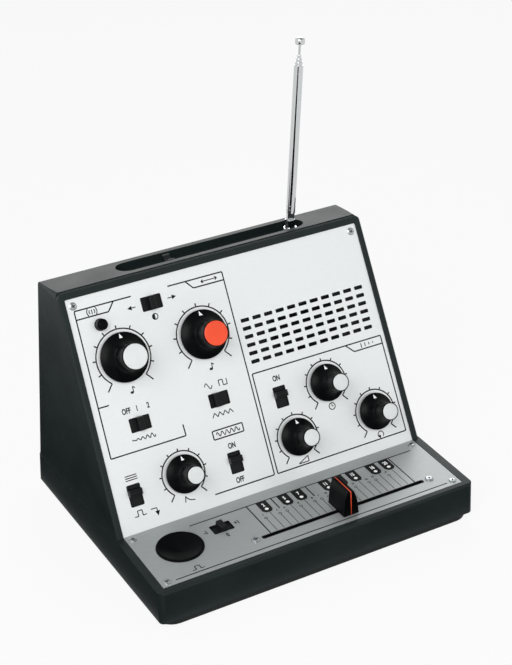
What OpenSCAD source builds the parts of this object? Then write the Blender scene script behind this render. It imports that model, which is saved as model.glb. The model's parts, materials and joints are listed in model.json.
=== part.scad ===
// Desktop theremin with a sloping control panel, a slide keyboard deck and a folding rod antenna.
// Units are millimetres. X runs to the player's right, Y to the back, Z up.
// The origin is on the table under the middle of the base tray.

/* [Case] */
// Width of the base tray
case_w = 182; // [160:1:220]
// Depth of the base tray, front to back
case_d = 155; // [145:1:190]
// Height of the top's front edge above the table
case_h = 137.5; // [115:0.1:165]
// Wall thickness of the plastic mouldings
wall = 2.4; // [1.8:0.1:3.2]
// Radius of the upright corners and of the outer edges
edge_r = 3; // [1.5:0.1:4.5]
// Height of the tray's front wall
front_wall_h = 17.7; // [15:0.1:22]
// Height that the slide deck gains from its front edge to the panel's foot
deck_rise = 2.4; // [1:0.1:5]
// Height of the tray's rear wall
rear_wall_h = 18.2; // [15:0.1:21]
// Depth of the slide deck, from the front face to the panel's foot
deck_d = 50.4; // [46:0.1:58]
// Slope of the control panel above the horizontal, in degrees
panel_angle = 64.6; // [58:0.1:72]
// Depth of the top
top_d = 24.8; // [22:0.1:32]
// Fall of the top from its front edge to its back edge
top_fall = 2.2; // [0.5:0.1:3]
// Step from the tray's side to the housing's side
side_step = 1; // [0.5:0.1:2]
// Distance by which each side of the housing leans in, foot to top
side_taper = 2.2; // [0.5:0.1:5]

/* [Base] */
// Distance by which the bottom cover stands below the tray
pan_drop = 2.6; // [2.4:0.1:4]
// Distance by which the rubber feet stand below the bottom cover
foot_drop = 1; // [0.6:0.1:3]
// Distance of the bottom cover's sides from the tray's sides
pan_inset = 1.3; // [0.8:0.1:3]
// Radius of the bottom cover's upright corners
pan_r = 9; // [4:0.5:14]
// Radius of a rubber foot
foot_r = 6; // [4:0.5:8]
// Radius of a battery cell
cell_r = 7.1; // [5:0.05:7.2]
// Length of a battery cell
cell_l = 50.3; // [44:0.1:51]

/* [Panels] */
// Thickness of the two metal panels
plate_t = 1; // [0.8:0.1:1.5]
// Thickness of the moulded sheet behind each panel
sheet_t = 2; // [1.5:0.1:3]
// Width of the dark border beside the control panel
bezel_w = 3.5; // [2.5:0.1:6]
// Width of the dark border above the control panel
bezel_top = 4; // [2:0.1:6]
// Height of the border above the control panel's face
bezel_proud = 0.8; // [0.3:0.1:1.5]
// Width of the tray's rim round the deck plate
rim_w = 4.2; // [3:0.1:6]
// Length of a speaker slot
grille_l = 4.9; // [3:0.1:5.4]
// Width of a speaker slot
grille_w = 2; // [1.2:0.1:2.6]

/* [Controls] */
// Skirt radius of the two large dials
big_skirt_r = 12.85; // [11:0.05:14]
// Grip radius of the two large dials
big_grip_r = 6.95; // [5:0.05:8]
// Height of the large dials above the panel
big_knob_h = 17.7; // [14:0.1:21]
// Skirt radius of the four small dials
small_skirt_r = 10; // [8.5:0.05:11]
// Grip radius of the four small dials
small_grip_r = 4.9; // [4.2:0.05:6]
// Height of the small dials above the panel
small_knob_h = 17; // [14:0.1:21]
// Radius of a dial's shaft
shaft_r = 3; // [2:0.1:3.2]
// Length of a slide switch's window
window_l = 11.4; // [9:0.1:14]
// Width of a slide switch's window
window_w = 7.4; // [5:0.1:9]
// Height of a switch lever above the panel
lever_h = 2.6; // [1.5:0.1:4]
// Travel of a two-way switch to either side of its middle
two_way = 1.5; // [1:0.1:2]
// Travel of a three-way switch to either side of its middle
three_way = 2; // [1:0.1:2.4]
// Radius of the trigger dish
trigger_r = 12.1; // [9:0.1:13]
// Radius of the small round button
button_r = 2.9; // [2:0.1:4]
// Length of the slide control's slot
slot_l = 95.7; // [70:0.1:100]
// Width of the slide control's slot
slot_w = 1.7; // [1.4:0.1:3]
// Height of the slide control's fin above its foot
fin_h = 13.6; // [9:0.1:18]
// Length of the fin's foot, front to back
fin_l = 15.4; // [11:0.1:18]
// Width of the fin's foot
fin_w = 9; // [6:0.1:11]

/* [Antenna] */
// Radius of the outer tube
tube_r = 2.45; // [2.2:0.05:3]
// Step in radius from one tube to the next
tube_step = 0.45; // [0.4:0.01:0.5]
// Distance from the pivot to the outer tube's top
tube_top = 86.5; // [70:0.5:90]
// Distance by which the closed tubes stand out of each other
tube_show = 1.8; // [1:0.1:3]
// Radius of the tip cap
tip_r = 2.6; // [2.4:0.1:4]
// Lean of the antenna at rest, to the right, in degrees
lean = 6; // [0:1:30]
// Room in the trough beyond the folded antenna's tip
trough_room = 1.1; // [0.8:0.1:8]
// Width of the trough
trough_w = 13.6; // [11:0.1:15]
// Depth of the trough
trough_depth = 5; // [4:0.1:6]

/* [Fits] */
// Radial clearance of a shaft that turns or slides in its bore
run_fit = 0.05; // [0.02:0.01:0.1]
// Clearance round a piece that slides or is dropped in
free_fit = 0.2; // [0.1:0.05:0.4]
// Gap that a pressed-in disc keeps at its edge
disc_fit = 0.02; // [0.01:0.01:0.05]

/* [Hidden] */
$fn = 48;
eps = 0.01;

// ---- Derived sizes -------------------------------------------------------------------------
tray_z = pan_drop + foot_drop;
front_z = tray_z + front_wall_h;
foot_z = front_z + deck_rise;
rear_z = tray_z + rear_wall_h;
deck_angle = atan2(deck_rise, deck_d);
panel_l = (case_h - foot_z) / sin(panel_angle);
top_front_y = deck_d + panel_l * cos(panel_angle);
top_rear_y = top_front_y + top_d;
rear_y = case_d - side_step;
top_mid = case_h - top_fall / 2;
rear_angle = atan2(case_h - top_fall - rear_z, rear_y - top_rear_y);
// The tray's rear wall goes on down in the slope of the housing's
tray_d = case_d + rear_wall_h / tan(rear_angle);
foot_half = case_w / 2 - side_step;
// The housing begins this far behind the panel's face, and the frame fills the rest.
seam_in = 2;
plate_in = 2 * free_fit;
// Height of the solder side of the pots, measured down from the panel's face
board_w = 11.2;
board_t = 1.6;
sheet_back = plate_t + sheet_t;

// Half width of the housing at a height above the table
function half_at(z) = foot_half - side_taper * (z - rear_z) / (case_h - rear_z);
function half_up(v) = half_at(foot_z + v * sin(panel_angle));
// Y of the panel's plane and of the rear wall, moved in by a distance, at a height
function front_line(z, d) = deck_d + (z - foot_z) / tan(panel_angle) + d / sin(panel_angle);
function rear_line(z, d) = rear_y - (z - rear_z) / tan(rear_angle) - d / sin(rear_angle);

// Places on the panel: across from the middle, and up the slope from the foot
pitch_left_at = [-62, 86.9];
pitch_right_at = [-17.2, 86.9];
decay_at = [-46.8, 21.2];
time_at = [44.4, 44];
level_at = [20.3, 21.1];
feedback_at = [68.6, 21.2];
mix_at = [-40, 109.7];
waveform_at = [-17.5, 52.4];
modulation_at = [-62.4, 52.4];
drone_at = [-74.6, 18.5];
vibrato_at = [-17.4, 18.5];
delay_at = [16.7, 44];
button_at = [-69.4, 105.8];
grille_at = [7.7, 88];
grille_pitch = [6.93, 4.43];
grille_n = [11, 6];
speaker_at = grille_at + [grille_pitch[0] * (grille_n[0] - 1), -grille_pitch[1] * (grille_n[1] - 1)] / 2;
screw_in = 3.4;
// Places on the deck: across from the middle, and back from the front edge
trigger_at = [-65.3, 29.2];
octave_at = [-40, 33];
slot_at = [21.6, 15.1];
fin_at = [21.4, 16];
slot_screw_out = 4;
deck_plate_half = foot_half - bezel_w;
deck_plate_l = deck_d / cos(deck_angle) - rim_w;
deck_sink = 0.2;
// Places on the rear wall: across (to the left as seen from the front is positive), and up
volume_at = [-4, 38];
power_at = [-30, 38];
inlet_at = [-56, 38];
phones_at = [22, 38];
line_at = [50, 38];

// Knob and shaft sizes
knob_gap = 0.8;
skirt_edge = 1.5;
flare_top = 9;
nut_h = 2;
nut_af = 10;
bush_r = 3.5;
pot_r = 8.5;
cap_t = 1.2;
cap_rim = 0.35;
shaft_top = 13;

// Switch sizes
slab_t = 1.5;
slab_over = 1.6;
lever_l = 3.8;
can_t = 5.2;
can_wall = 0.6;

// Antenna places
antenna_x = 52.6;
antenna_y = top_front_y + top_d / 2;
pivot_up = 0.5;
pivot_z = top_mid + pivot_up;
disc_r = 3.6;
bush_bore = 3 + run_fit;
bush_out = 5;
bush_drop = 8;
ear_r = 2.7;
ear_top = 2.3;
disc_drop = 3.1;
tongue_t = 1.7;
tongue_r = 2.1;
pin_r = 0.8;
tube_start = 6;
tube_plug = 3;
tube_wall = 0.3;
tube_stop = 1.4;
tip_h = 3.7;
stem_show = 5.5;
clip_x = -20;
trough_floor = top_mid - trough_depth;
trough_wall = 1.6;
well_r = 7;
trough_l = well_r + tube_top + 3 * tube_show + stem_show + tip_h + trough_room;
// Middle of the trough: its right end keeps room for the antenna's well
trough_x = antenna_x + well_r - trough_l / 2;

// Base places
pan_top = tray_z + 2;
cell_n = 4;
bay_half = cell_n * cell_r + 1;
pan_edge = 0.3;
pan_y1 = tray_d - pan_edge;
bay_y1 = case_d - 6.2;
bay_y0 = bay_y1 - cell_l - 6;
bay_top = pan_top + 2 * cell_r + 0.6;
door_t = 1.1;
post_r = 4.8;
post_in = 4.4;
post_h = 7;
post_y = [70, case_d - 16];
board_half = foot_half - wall - post_in - post_r - 1.2;

// ---- Helpers ---------------------------------------------------------------------------------
function unit(v) = v / norm(v);
function heading(v) = atan2(v[1], v[0]);
function short_way(a) = a > 180 ? a - 360 : a < -180 ? a + 360 : a;
// Arc of n steps that rounds the corner b between a and c
function fillet(a, b, c, r, n = 6) =
    let (
        u1 = unit(a - b),
        u2 = unit(c - b),
        half = acos(u1 * u2) / 2,
        m = b + unit(u1 + u2) * r / sin(half),
        a1 = heading(b + u1 * r / tan(half) - m),
        turn = short_way(heading(b + u2 * r / tan(half) - m) - a1)
    )
    [for (i = [0:n]) m + r * [cos(a1 + turn * i / n), sin(a1 + turn * i / n)]];
// Outline with a radius for each corner; 0 keeps the corner sharp
function rounded(pts, radii) =
    let (k = len(pts))
    [for (i = [0:k - 1]) each radii[i] == 0
        ? [pts[i]]
        : fillet(pts[(i + k - 1) % k], pts[i], pts[(i + 1) % k], radii[i])];
function box_pts(l, w) = [[-l / 2, -w / 2], [l / 2, -w / 2], [l / 2, w / 2], [-l / 2, w / 2]];

module rounded_box(l, w, h, r) {
    linear_extrude(h) polygon(rounded(box_pts(l, w), [r, r, r, r]));
}

// Slot with round ends, its middle at the origin
module flat_slot(l, w) {
    square([l - w, w], center = true);
    for (side = [-1, 1]) translate([side * (l - w) / 2, 0]) circle(r = w / 2);
}

// Rectangle with round corners, its middle at the origin
module soft_rect(l, w, r) {
    square([l - 2 * r, w], center = true);
    square([l, w - 2 * r], center = true);
    for (x = [-1, 1]) for (y = [-1, 1]) translate([x * (l / 2 - r), y * (w / 2 - r)]) circle(r = r);
}

module slot(l, w, h) {
    linear_extrude(h) flat_slot(l, w);
}

// Outline in Y and Z, drawn out along X
module along_x(w) {
    rotate([90, 0, 90]) linear_extrude(w, center = true) children();
}

// Outline in X and Z, drawn out along Y from y0 to y1
module along_y(y0, y1) {
    translate([0, y1, 0]) rotate([90, 0, 0]) linear_extrude(y1 - y0) children();
}

// The part's own origin is under the tray's middle
module placed() {
    translate([0, -tray_d / 2, 0]) children();
}

// Control panel: x across, y up the slope, z out of its face
module on_panel(at, w = 0) {
    translate([0, deck_d, foot_z]) rotate([panel_angle, 0, 0]) translate([at[0], at[1], w]) children();
}

// Slide deck: x across, y back from the front edge, z out of its face
module on_deck(at, w = 0) {
    translate([0, 0, front_z]) rotate([deck_angle, 0, 0]) translate([at[0], at[1], w]) children();
}

// Rear wall: x to the player's left, y up the wall, z out of its face
module on_rear(at, w = 0) {
    translate([0, rear_y, rear_z]) rotate([0, 0, 180]) rotate([rear_angle, 0, 0])
        translate([at[0], at[1], w]) children();
}

// The antenna's own line: z runs from the pivot to the tip
module on_antenna() {
    translate([antenna_x, antenna_y, pivot_z]) rotate([0, lean, 0]) children();
}

// ---- Base --------------------------------------------------------------------------------------
// Everything under the line along which the housing sits on the tray, moved down by a distance
module under_seam(down = 0) {
    along_x(case_w * 2) polygon([
        [-20, -20], [case_d + 20, -20], [case_d + 20, rear_z - down], [rear_y, rear_z - down],
        [deck_d, foot_z - down], [0, front_z - down], [-20, front_z - down]
    ]);
}

// Upright in front, and behind in the slope of the rear wall
module tray_prism(inset, z0) {
    r = max(edge_r - inset, 0.6);
    l = 2 * case_d;
    intersection() {
        translate([0, inset + l / 2, z0]) rounded_box(case_w - 2 * inset, l, 40, r);
        translate([0, case_d, rear_z]) rotate([90 - rear_angle, 0, 0])
            translate([0, -inset - l / 2, -60]) rounded_box(case_w - 2 * inset, l, 120, r);
    }
}

// Outline of the base tray with a soft edge along the front rim
module tray_outline() {
    along_x(case_w + 2) polygon(rounded(
        [[0, tray_z], [case_d + 20, tray_z], [case_d + 20, rear_z], [rear_y, rear_z], [deck_d, foot_z], [0, front_z]],
        [0, 0, 0, 0, 0, edge_r / 2]
    ));
}

module base_tray() {
    deck_end = deck_d + wall;
    color("#2b3131") placed() difference() {
        intersection() {
            tray_prism(0, tray_z);
            tray_outline();
        }
        // Room under the deck
        intersection() {
            tray_prism(wall, tray_z - 1);
            under_seam(sheet_back + deck_sink);
            translate([-case_w, -1, 0]) cube([2 * case_w, deck_end - wall + 1, 60]);
        }
        // Room under the housing
        intersection() {
            tray_prism(wall, tray_z - 1);
            translate([-case_w, deck_end, 0]) cube([2 * case_w, case_d, 60]);
        }
        // Room for the bottom cover under the cross wall, and a way for the wiring
        translate([wall - case_w / 2, deck_end - 2 * wall, tray_z - 1])
            cube([case_w - 2 * wall, 3 * wall, pan_top - tray_z + 1]);
        translate([-case_w / 3, deck_end - 2 * wall, tray_z - 1]) cube([case_w / 1.5, 3 * wall, 9]);
        // Seat of the deck plate
        on_deck([-deck_plate_half - free_fit, rim_w - free_fit], -plate_t - deck_sink)
            cube([2 * (deck_plate_half + free_fit), deck_plate_l + 10, 10]);
        // Openings through the deck
        on_deck(trigger_at, -8) cylinder(h = 10, r = trigger_r + free_fit);
        on_deck(octave_at, -8) switch_opening(three_way);
        on_deck(slot_at, -8) translate([-slot_l / 2 - 1, -2.2, 0]) cube([slot_l + 2, 4.4, 10]);
        deck_screw_places() translate([0, 0, -6]) cylinder(h = 8, r = 1.2);
        slot_screw_places() translate([0, 0, -6]) cylinder(h = 8, r = 1.2);
    }
}

// Bottom cover with a bevelled rim, the cell bay and the grooves of its door
module base_pan() {
    w = case_w - 2 * pan_inset;
    l = pan_y1 - pan_edge;
    // The upper step enters the tray
    in = wall + free_fit;
    up_l = case_d + (rear_z - pan_top) / tan(rear_angle) - 2 * in - 0.2;
    color("#1c2020") placed() difference() {
        union() {
            translate([0, pan_edge + l / 2, foot_drop]) rounded_box(w, l, tray_z - foot_drop, pan_r);
            translate([0, in + up_l / 2, tray_z - eps]) rounded_box(case_w - 2 * in, up_l, pan_top - tray_z + eps, 1);
            // Walls of the cell bay
            translate([-bay_half - 1.6, bay_y0 - 1.6, tray_z])
                cube([2 * bay_half + 3.2, bay_y1 - bay_y0 + 3.2, bay_top - tray_z]);
            // Posts that the case screws pass through
            case_screw_places() cylinder_between(tray_z, tray_z + post_h, post_r);
        }
        // Cell bay, open below
        translate([-bay_half, bay_y0, -1]) cube([2 * bay_half, bay_y1 - bay_y0, bay_top - 1.2 + 1]);
        // Way of the door: the wide tongue runs in grooves
        translate([-bay_half - 0.5, bay_y0 - 3, 0]) cube([2 * bay_half + 1, case_d, foot_drop + door_t + 0.1]);
        translate([-bay_half - 2, bay_y0 - 3, foot_drop + door_t - 0.1])
            cube([2 * bay_half + 4, case_d, door_t + 0.3]);
        // Seats of the feet and of the screws
        foot_places() translate([0, 0, -1]) cylinder(h = foot_drop + 1.4, r = foot_r + free_fit);
        case_screw_places() translate([0, 0, -1]) cylinder(h = tray_z + 3, r = 2.9);
        case_screw_places() cylinder(h = 20, r = 1.7);
    }
}

module battery_door() {
    y0 = bay_y0 - 2.8;
    y1 = pan_y1 - 0.6;
    color("#1e2323") placed() difference() {
        union() {
            translate([-bay_half - 0.3, y0, foot_drop]) cube([2 * bay_half + 0.6, y1 - y0, door_t]);
            translate([-bay_half - 1.8, y0, foot_drop + door_t]) cube([2 * bay_half + 3.6, y1 - y0, door_t]);
        }
        // Thumb grip
        for (i = [0:4]) translate([-9, y1 - 12 + 2 * i, foot_drop - 0.5]) cube([18, 0.9, 1]);
    }
}

module battery_cells() {
    color("#6f7678") placed() for (i = [0:cell_n - 1])
        translate([(2 * i + 1 - cell_n) * (cell_r + 0.15), bay_y0 + 3, foot_drop + 2 * door_t + 0.5 + cell_r])
            rotate([-90, 0, 0]) {
                cylinder(h = cell_l - 1, r = cell_r);
                translate([0, 0, cell_l - 1 - eps]) cylinder(h = 1, r = 2.7);
            }
}

// One spring plate and one flat plate at each end of the bay
module battery_contacts() {
    z0 = foot_drop + 2 * door_t + 2;
    color("silver") placed() {
        for (y = [bay_y0 + 0.1, bay_y1 - 0.5]) for (side = [-1, 1])
            translate([side * bay_half / 2 - bay_half / 2 + 1, y, z0]) cube([bay_half - 2, 0.4, 10]);
        for (i = [0:cell_n - 1])
            translate([(2 * i + 1 - cell_n) * (cell_r + 0.15), bay_y0 + 0.5, foot_drop + 2 * door_t + 0.5 + cell_r])
                rotate([-90, 0, 0]) cylinder(h = 2.3, r1 = 4, r2 = 2.4);
    }
}

module foot_places() {
    for (x = [-1, 1]) for (y = [18, case_d - 16])
        translate([x * (case_w / 2 - 20), y, 0]) children();
}

module rubber_feet() {
    color("#151515") placed() foot_places() {
        cylinder(h = foot_drop + 0.2, r1 = foot_r - 0.5, r2 = foot_r);
        translate([0, 0, foot_drop + 0.2 - eps]) cylinder(h = 0.2, r = foot_r);
    }
}

module case_screw_places() {
    for (x = [-1, 1]) for (y = post_y) translate([x * (foot_half - wall - post_in), y, 0]) children();
}

module case_screws() {
    color("#2a2a2a") placed() case_screw_places() difference() {
        union() {
            translate([0, 0, foot_drop + 0.6]) cylinder(h = tray_z + 2 - foot_drop - 0.6, r = 2.7);
            cylinder_between(tray_z + 2 - eps, tray_z + 16, 1.45);
        }
        cross_recess(foot_drop + 0.6, 1.8);
    }
}

module cylinder_between(z0, z1, r) {
    translate([0, 0, z0]) cylinder(h = z1 - z0, r = r);
}

// Cross recess that opens downwards at z
module cross_recess(z, size) {
    for (a = [0, 90]) rotate([0, 0, a]) translate([-size, -0.3, z - 1]) cube([2 * size, 0.6, 2]);
}

// ---- Housing -------------------------------------------------------------------------------------
// Wedge of the housing, moved in by a distance on every side, its front open
module wedge(inset) {
    low = tray_z;
    top = case_h - inset;
    back = top - top_fall;
    soft = max(edge_r - inset, 0.6);
    front = inset == 0 ? seam_in : -20;
    fall = top_fall / top_d;
    face = front_line(top, front);
    intersection() {
        along_x(2 * case_w) polygon(rounded(
            [
                [front_line(low, front), low],
                [face, top - (face - top_front_y) * fall],
                [rear_line(back, inset), back],
                [rear_line(low, inset), low]
            ],
            [0, 0, soft, 0]
        ));
        along_y(-30, case_d + 10) polygon(rounded(
            [
                [-half_at(low) + inset, low],
                [-half_at(top) + inset, top],
                [half_at(top) - inset, top],
                [half_at(low) - inset, low]
            ],
            [0, soft, soft, 0]
        ));
    }
}

module trough(grow, depth) {
    up = depth + top_fall;
    translate([trough_x, antenna_y, top_mid - depth]) slot(trough_l + 2 * grow, trough_w + 2 * grow, up);
    translate([antenna_x, antenna_y, top_mid - depth]) cylinder(h = up, r = well_r + grow);
}

module upper_housing() {
    color("#2f3636") placed() difference() {
        union() {
            difference() {
                wedge(0);
                wedge(wall);
                under_seam();
            }
            // Tub of the trough
            intersection() {
                wedge(0);
                trough(trough_wall, trough_depth + trough_wall);
            }
            // Posts for the case screws, grown out of the side walls
            intersection() {
                wedge(0);
                case_screw_places() cylinder_between(tray_z + post_h, tray_z + 30, post_r);
            }
        }
        case_screw_places() cylinder_between(tray_z, tray_z + 22, 1.5);
        trough(0, trough_depth);
        translate([antenna_x, antenna_y, case_h - 20]) cylinder(h = 20, r = bush_out + disc_fit);
        // Rear openings
        on_rear(line_at, -10) cylinder(h = 20, r = 5);
        on_rear(phones_at, -10) cylinder(h = 20, r = 3.1);
        on_rear(inlet_at, -10) cylinder(h = 20, r = 5.2);
        on_rear(volume_at, -10) cylinder(h = 20, r = bush_r + free_fit);
        on_rear(power_at, -10) translate([-4, -2.2, 0]) cube([8, 4.4, 20]);
        // Shallow bays round the power switch and the sockets
        on_rear(power_at, -0.8) translate([-7, -4, 0]) cube([14, 8, 2]);
    }
}

// Outline of the frame or of the panel, moved in from the housing's sides
module panel_outline(side, top, low, r) {
    polygon(rounded(
        [
            [-half_up(low) + side, low],
            [-half_up(panel_l - top) + side, panel_l - top],
            [half_up(panel_l - top) - side, panel_l - top],
            [half_up(low) - side, low]
        ],
        [0, r, r, 0]
    ));
}

// What the bevel takes from the frame's outer edges and from its two upper corners
module frame_bevel(size) {
    l = 2 * panel_l;
    z = bezel_proud - size;
    turn = atan2(half_up(0) - half_up(panel_l), panel_l);
    off = edge_r * (1 - sin(45));
    for (side = [-1, 1]) {
        translate([side * half_up(0), 0, z]) rotate([0, 0, side * turn]) rotate([0, side * 45, 0])
            translate([-10, -l / 2, 0]) cube([20, l, 10]);
        translate([side * (half_up(panel_l) - off), panel_l - off, z + 0.08]) rotate([0, 0, -side * 45])
            rotate([-45, 0, 0]) translate([-10, -10, 0]) cube([20, 20, 10]);
    }
    translate([0, panel_l, z]) rotate([-45, 0, 0]) translate([-case_w, -10, 0]) cube([2 * case_w, 20, 10]);
}

module front_frame() {
    color("#363d3d") placed() difference() {
        union() {
            // Visible border with a bevelled outer edge
            on_panel([0, 0]) difference() {
                translate([0, 0, -seam_in]) linear_extrude(seam_in + bezel_proud) panel_outline(0, 0, -3, edge_r);
                frame_bevel(0.7);
            }
            // Plug that enters the housing, with the sheet behind the panel
            on_panel([0, 0], -sheet_back) linear_extrude(sheet_back)
                panel_outline(wall + free_fit, wall + 1.2, -4, 1);
            // Stiffening rib round the sheet
            on_panel([0, 0], -6.5) difference() {
                linear_extrude(6.5) panel_outline(wall + free_fit + 0.3, wall + 4, 4, 1);
                translate([0, 0, -1]) linear_extrude(9) panel_outline(wall + 2, wall + 5.6, 5.6, 1);
            }
        }
        // Seat of the panel
        on_panel([0, 0], -plate_t) linear_extrude(5) panel_outline(bezel_w - free_fit, bezel_top - free_fit, -9, 0.6);
        // Openings through the sheet
        for (at = pot_list()) on_panel(at, -9) cylinder(h = 10, r = bush_r + free_fit);
        for (s = switch_list()) on_panel(s[0], -9) rotate([0, 0, s[1]]) switch_opening(s[2]);
        on_panel(button_at, -9) cylinder(h = 10, r = button_r + 0.3);
        on_panel(speaker_at, -9) cylinder(h = 10, r = 21.5);
        panel_screw_places() translate([0, 0, -8]) cylinder(h = 9, r = 1.2);
        under_seam();
        on_deck([-case_w, -10], -plate_t - deck_sink) cube([2 * case_w, deck_plate_l + rim_w + 10, plate_t + deck_sink]);
    }
}

function pot_list() = [pitch_left_at, pitch_right_at, decay_at, time_at, level_at, feedback_at];
// Each switch: place, turn and travel to either side
function switch_list() = [
    [mix_at, 0, three_way],
    [waveform_at, 0, two_way],
    [modulation_at, 0, three_way],
    [drone_at, 90, two_way],
    [vibrato_at, 90, two_way],
    [delay_at, 90, two_way]
];

// Rounded slots of the speaker grille as a flat pattern
module grille_pattern() {
    for (i = [0:grille_n[0] - 1]) for (j = [0:grille_n[1] - 1])
        translate(grille_at + [i * grille_pitch[0], -j * grille_pitch[1]]) soft_rect(grille_l, grille_w, 0.5);
}

module main_panel() {
    color("#dfe3e4") placed() difference() {
        on_panel([0, 0], -plate_t) linear_extrude(plate_t) difference() {
            panel_outline(bezel_w, bezel_top, -2, 0.6);
            grille_pattern();
            for (s = switch_list()) translate(s[0]) rotate(s[1]) soft_rect(window_l, window_w, 0.7);
        }
        for (at = pot_list()) on_panel(at, -5) cylinder(h = 8, r = bush_r + free_fit);
        on_panel(button_at, -5) cylinder(h = 8, r = button_r + 0.3);
        panel_screw_places() translate([0, 0, -5]) cylinder(h = 8, r = 1.6);
        // The foot rests on the deck plate
        on_deck([-case_w, -10], -5) cube([2 * case_w, case_d, 5 - deck_sink]);
    }
}

module apron_panel() {
    color("#a9afb0") placed() difference() {
        on_deck([0, 0], -plate_t - deck_sink) linear_extrude(plate_t) difference() {
            translate([-deck_plate_half, rim_w]) square([2 * deck_plate_half, deck_plate_l]);
            translate(octave_at) soft_rect(window_l, window_w, 0.7);
            translate(slot_at) flat_slot(slot_l, slot_w);
        }
        on_deck(trigger_at, -5) cylinder(h = 8, r = trigger_r + free_fit);
        deck_screw_places() translate([0, 0, -5]) cylinder(h = 8, r = 1.6);
        slot_screw_places() translate([0, 0, -5]) cylinder(h = 8, r = 1.6);
    }
}

module panel_screw_places() {
    for (side = [-1, 1])
        on_panel([side * (half_up(panel_l) - bezel_w - screw_in), panel_l - bezel_top - screw_in - 0.4]) children();
}

module deck_screw_places() {
    for (side = [-1, 1]) for (v = [rim_w + screw_in, rim_w + deck_plate_l - screw_in - 0.5])
        on_deck([side * (deck_plate_half - screw_in), v], -deck_sink) children();
}

module slot_screw_places() {
    for (side = [-1, 1]) on_deck([slot_at[0] + side * (slot_l / 2 + slot_screw_out), slot_at[1]], -deck_sink) children();
}

// Pan-head screw with a cross recess, its head on z = 0
module screw(head_r, head_h, length) {
    difference() {
        union() {
            rotate_extrude() polygon([
                [0, 0], [head_r, 0], [head_r, head_h * 0.35], [head_r * 0.8, head_h * 0.8],
                [head_r * 0.5, head_h], [0, head_h]
            ]);
            translate([0, 0, -length]) cylinder(h = length + eps, r = 1.1);
        }
        for (a = [45, 135]) rotate([0, 0, a]) translate([-head_r * 0.6, -0.22, head_h - 0.5])
            cube([head_r * 1.2, 0.44, 1]);
    }
}

module panel_screws() {
    color("#c8ccce") placed() {
        panel_screw_places() screw(2.05, 0.7, 5);
        deck_screw_places() screw(2.05, 0.7, 4);
    }
}

module slot_screws() {
    color("#c8ccce") placed() slot_screw_places() screw(2.35, 0.8, 4);
}

// ---- Inside -----------------------------------------------------------------------------------
module circuit_boards() {
    color("#1f6b3a") placed() {
        // Board behind the control panel, cut out round the speaker and below the antenna
        on_panel([0, 0], -board_w - board_t) difference() {
            linear_extrude(board_t) union() {
                translate([-board_half, 7]) square([2 * board_half, 91]);
                translate([-board_half, 90]) square([board_half + 15, 22]);
            }
            translate([speaker_at[0], speaker_at[1], -1]) cylinder(h = 5, r = 25.5);
        }
        on_panel(button_at, -board_w - eps) translate([-3, -3, 0]) cube([6, 6, 1.6]);
        // Board under the deck
        on_deck([-board_half, 6], -board_w - deck_sink - board_t) cube([2 * board_half, 38, board_t]);
        on_deck(trigger_at, -board_w - deck_sink - eps) translate([-3, -3, 0]) cube([6, 6, 1.8]);
    }
}

module speaker_frame() {
    color("#3a3d40") placed() on_panel(speaker_at, -sheet_back) rotate_extrude() polygon([
        [21.2, 0], [24, 0], [24, -1.2], [22.8, -1.2], [17, -11], [14.5, -14], [14.5, -21],
        [0, -21], [0, -15], [13.2, -13.2], [15.8, -10.6], [21.2, -1.2]
    ]);
}

module speaker_cone() {
    color("#202224") placed() on_panel(speaker_at, -sheet_back) rotate_extrude() polygon([
        [0, -6.6], [3, -7.2], [6.2, -9.4], [20.4, -0.9], [21, -0.4], [21, -0.9], [20.4, -1.5],
        [6.6, -10.2], [5.6, -13.9], [5.2, -13.9], [5.6, -9.9], [2.8, -7.8], [0, -7.2]
    ]);
}

// Pot with its threaded bush; z = 0 is the panel's face
module pot_housing() {
    difference() {
        union() {
            translate([0, 0, -board_w]) cylinder(h = board_w - sheet_back, r = pot_r);
            translate([0, 0, -sheet_back - eps]) cylinder(h = sheet_back + nut_h + 0.6, r = bush_r);
        }
        translate([0, 0, -board_w + 2]) cylinder(h = 30, r = shaft_r + run_fit);
    }
}

// The pot on the rear wall passes through one wall of plastic
module volume_pot() {
    difference() {
        union() {
            translate([0, 0, -wall - 7]) cylinder(h = 7, r = 6);
            translate([0, 0, -wall - eps]) cylinder(h = wall + 1.9, r = bush_r);
        }
        translate([0, 0, -wall - 5]) cylinder(h = 20, r = shaft_r + run_fit);
    }
}

module pot_housings() {
    color("#8d9296") placed() {
        for (at = pot_list()) on_panel(at) pot_housing();
        on_rear(volume_at) volume_pot();
    }
}

module hex_nut(h) {
    difference() {
        cylinder(h = h, r = nut_af / 2 / cos(30), $fn = 6);
        translate([0, 0, -1]) cylinder(h = h + 2, r = bush_r + disc_fit);
    }
}

module pot_nuts() {
    color("#b9bdc0") placed() {
        for (at = pot_list()) on_panel(at) hex_nut(nut_h);
        on_rear(volume_at) hex_nut(1.6);
    }
}

// ---- Dials ---------------------------------------------------------------------------------------
// Radius of the flare between the skirt's edge and the grip
function flare_r(skirt, grip, t) = grip + (skirt - 0.4 - grip) * pow(1 - t, 2.2);

module knob(skirt, grip, h) {
    low = knob_gap + skirt_edge;
    steps = 10;
    difference() {
        rotate_extrude() polygon(concat(
            [[0, knob_gap], [skirt - 0.3, knob_gap], [skirt, knob_gap + 0.3], [skirt, low - 0.3]],
            [for (i = [0:steps]) [flare_r(skirt, grip, i / steps), low + (flare_top - low) * i / steps]],
            [[grip, h - 0.4], [grip - 0.35, h], [0, h]]
        ));
        translate([0, 0, -1]) cylinder(h = nut_h + 3, r = nut_af / 2 / cos(30) + 0.6);
        translate([0, 0, -1]) cylinder(h = shaft_top + 1.2, r = shaft_r + disc_fit);
        translate([0, 0, h - cap_t]) cylinder(h = 5, r = grip - cap_rim);
    }
}

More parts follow.
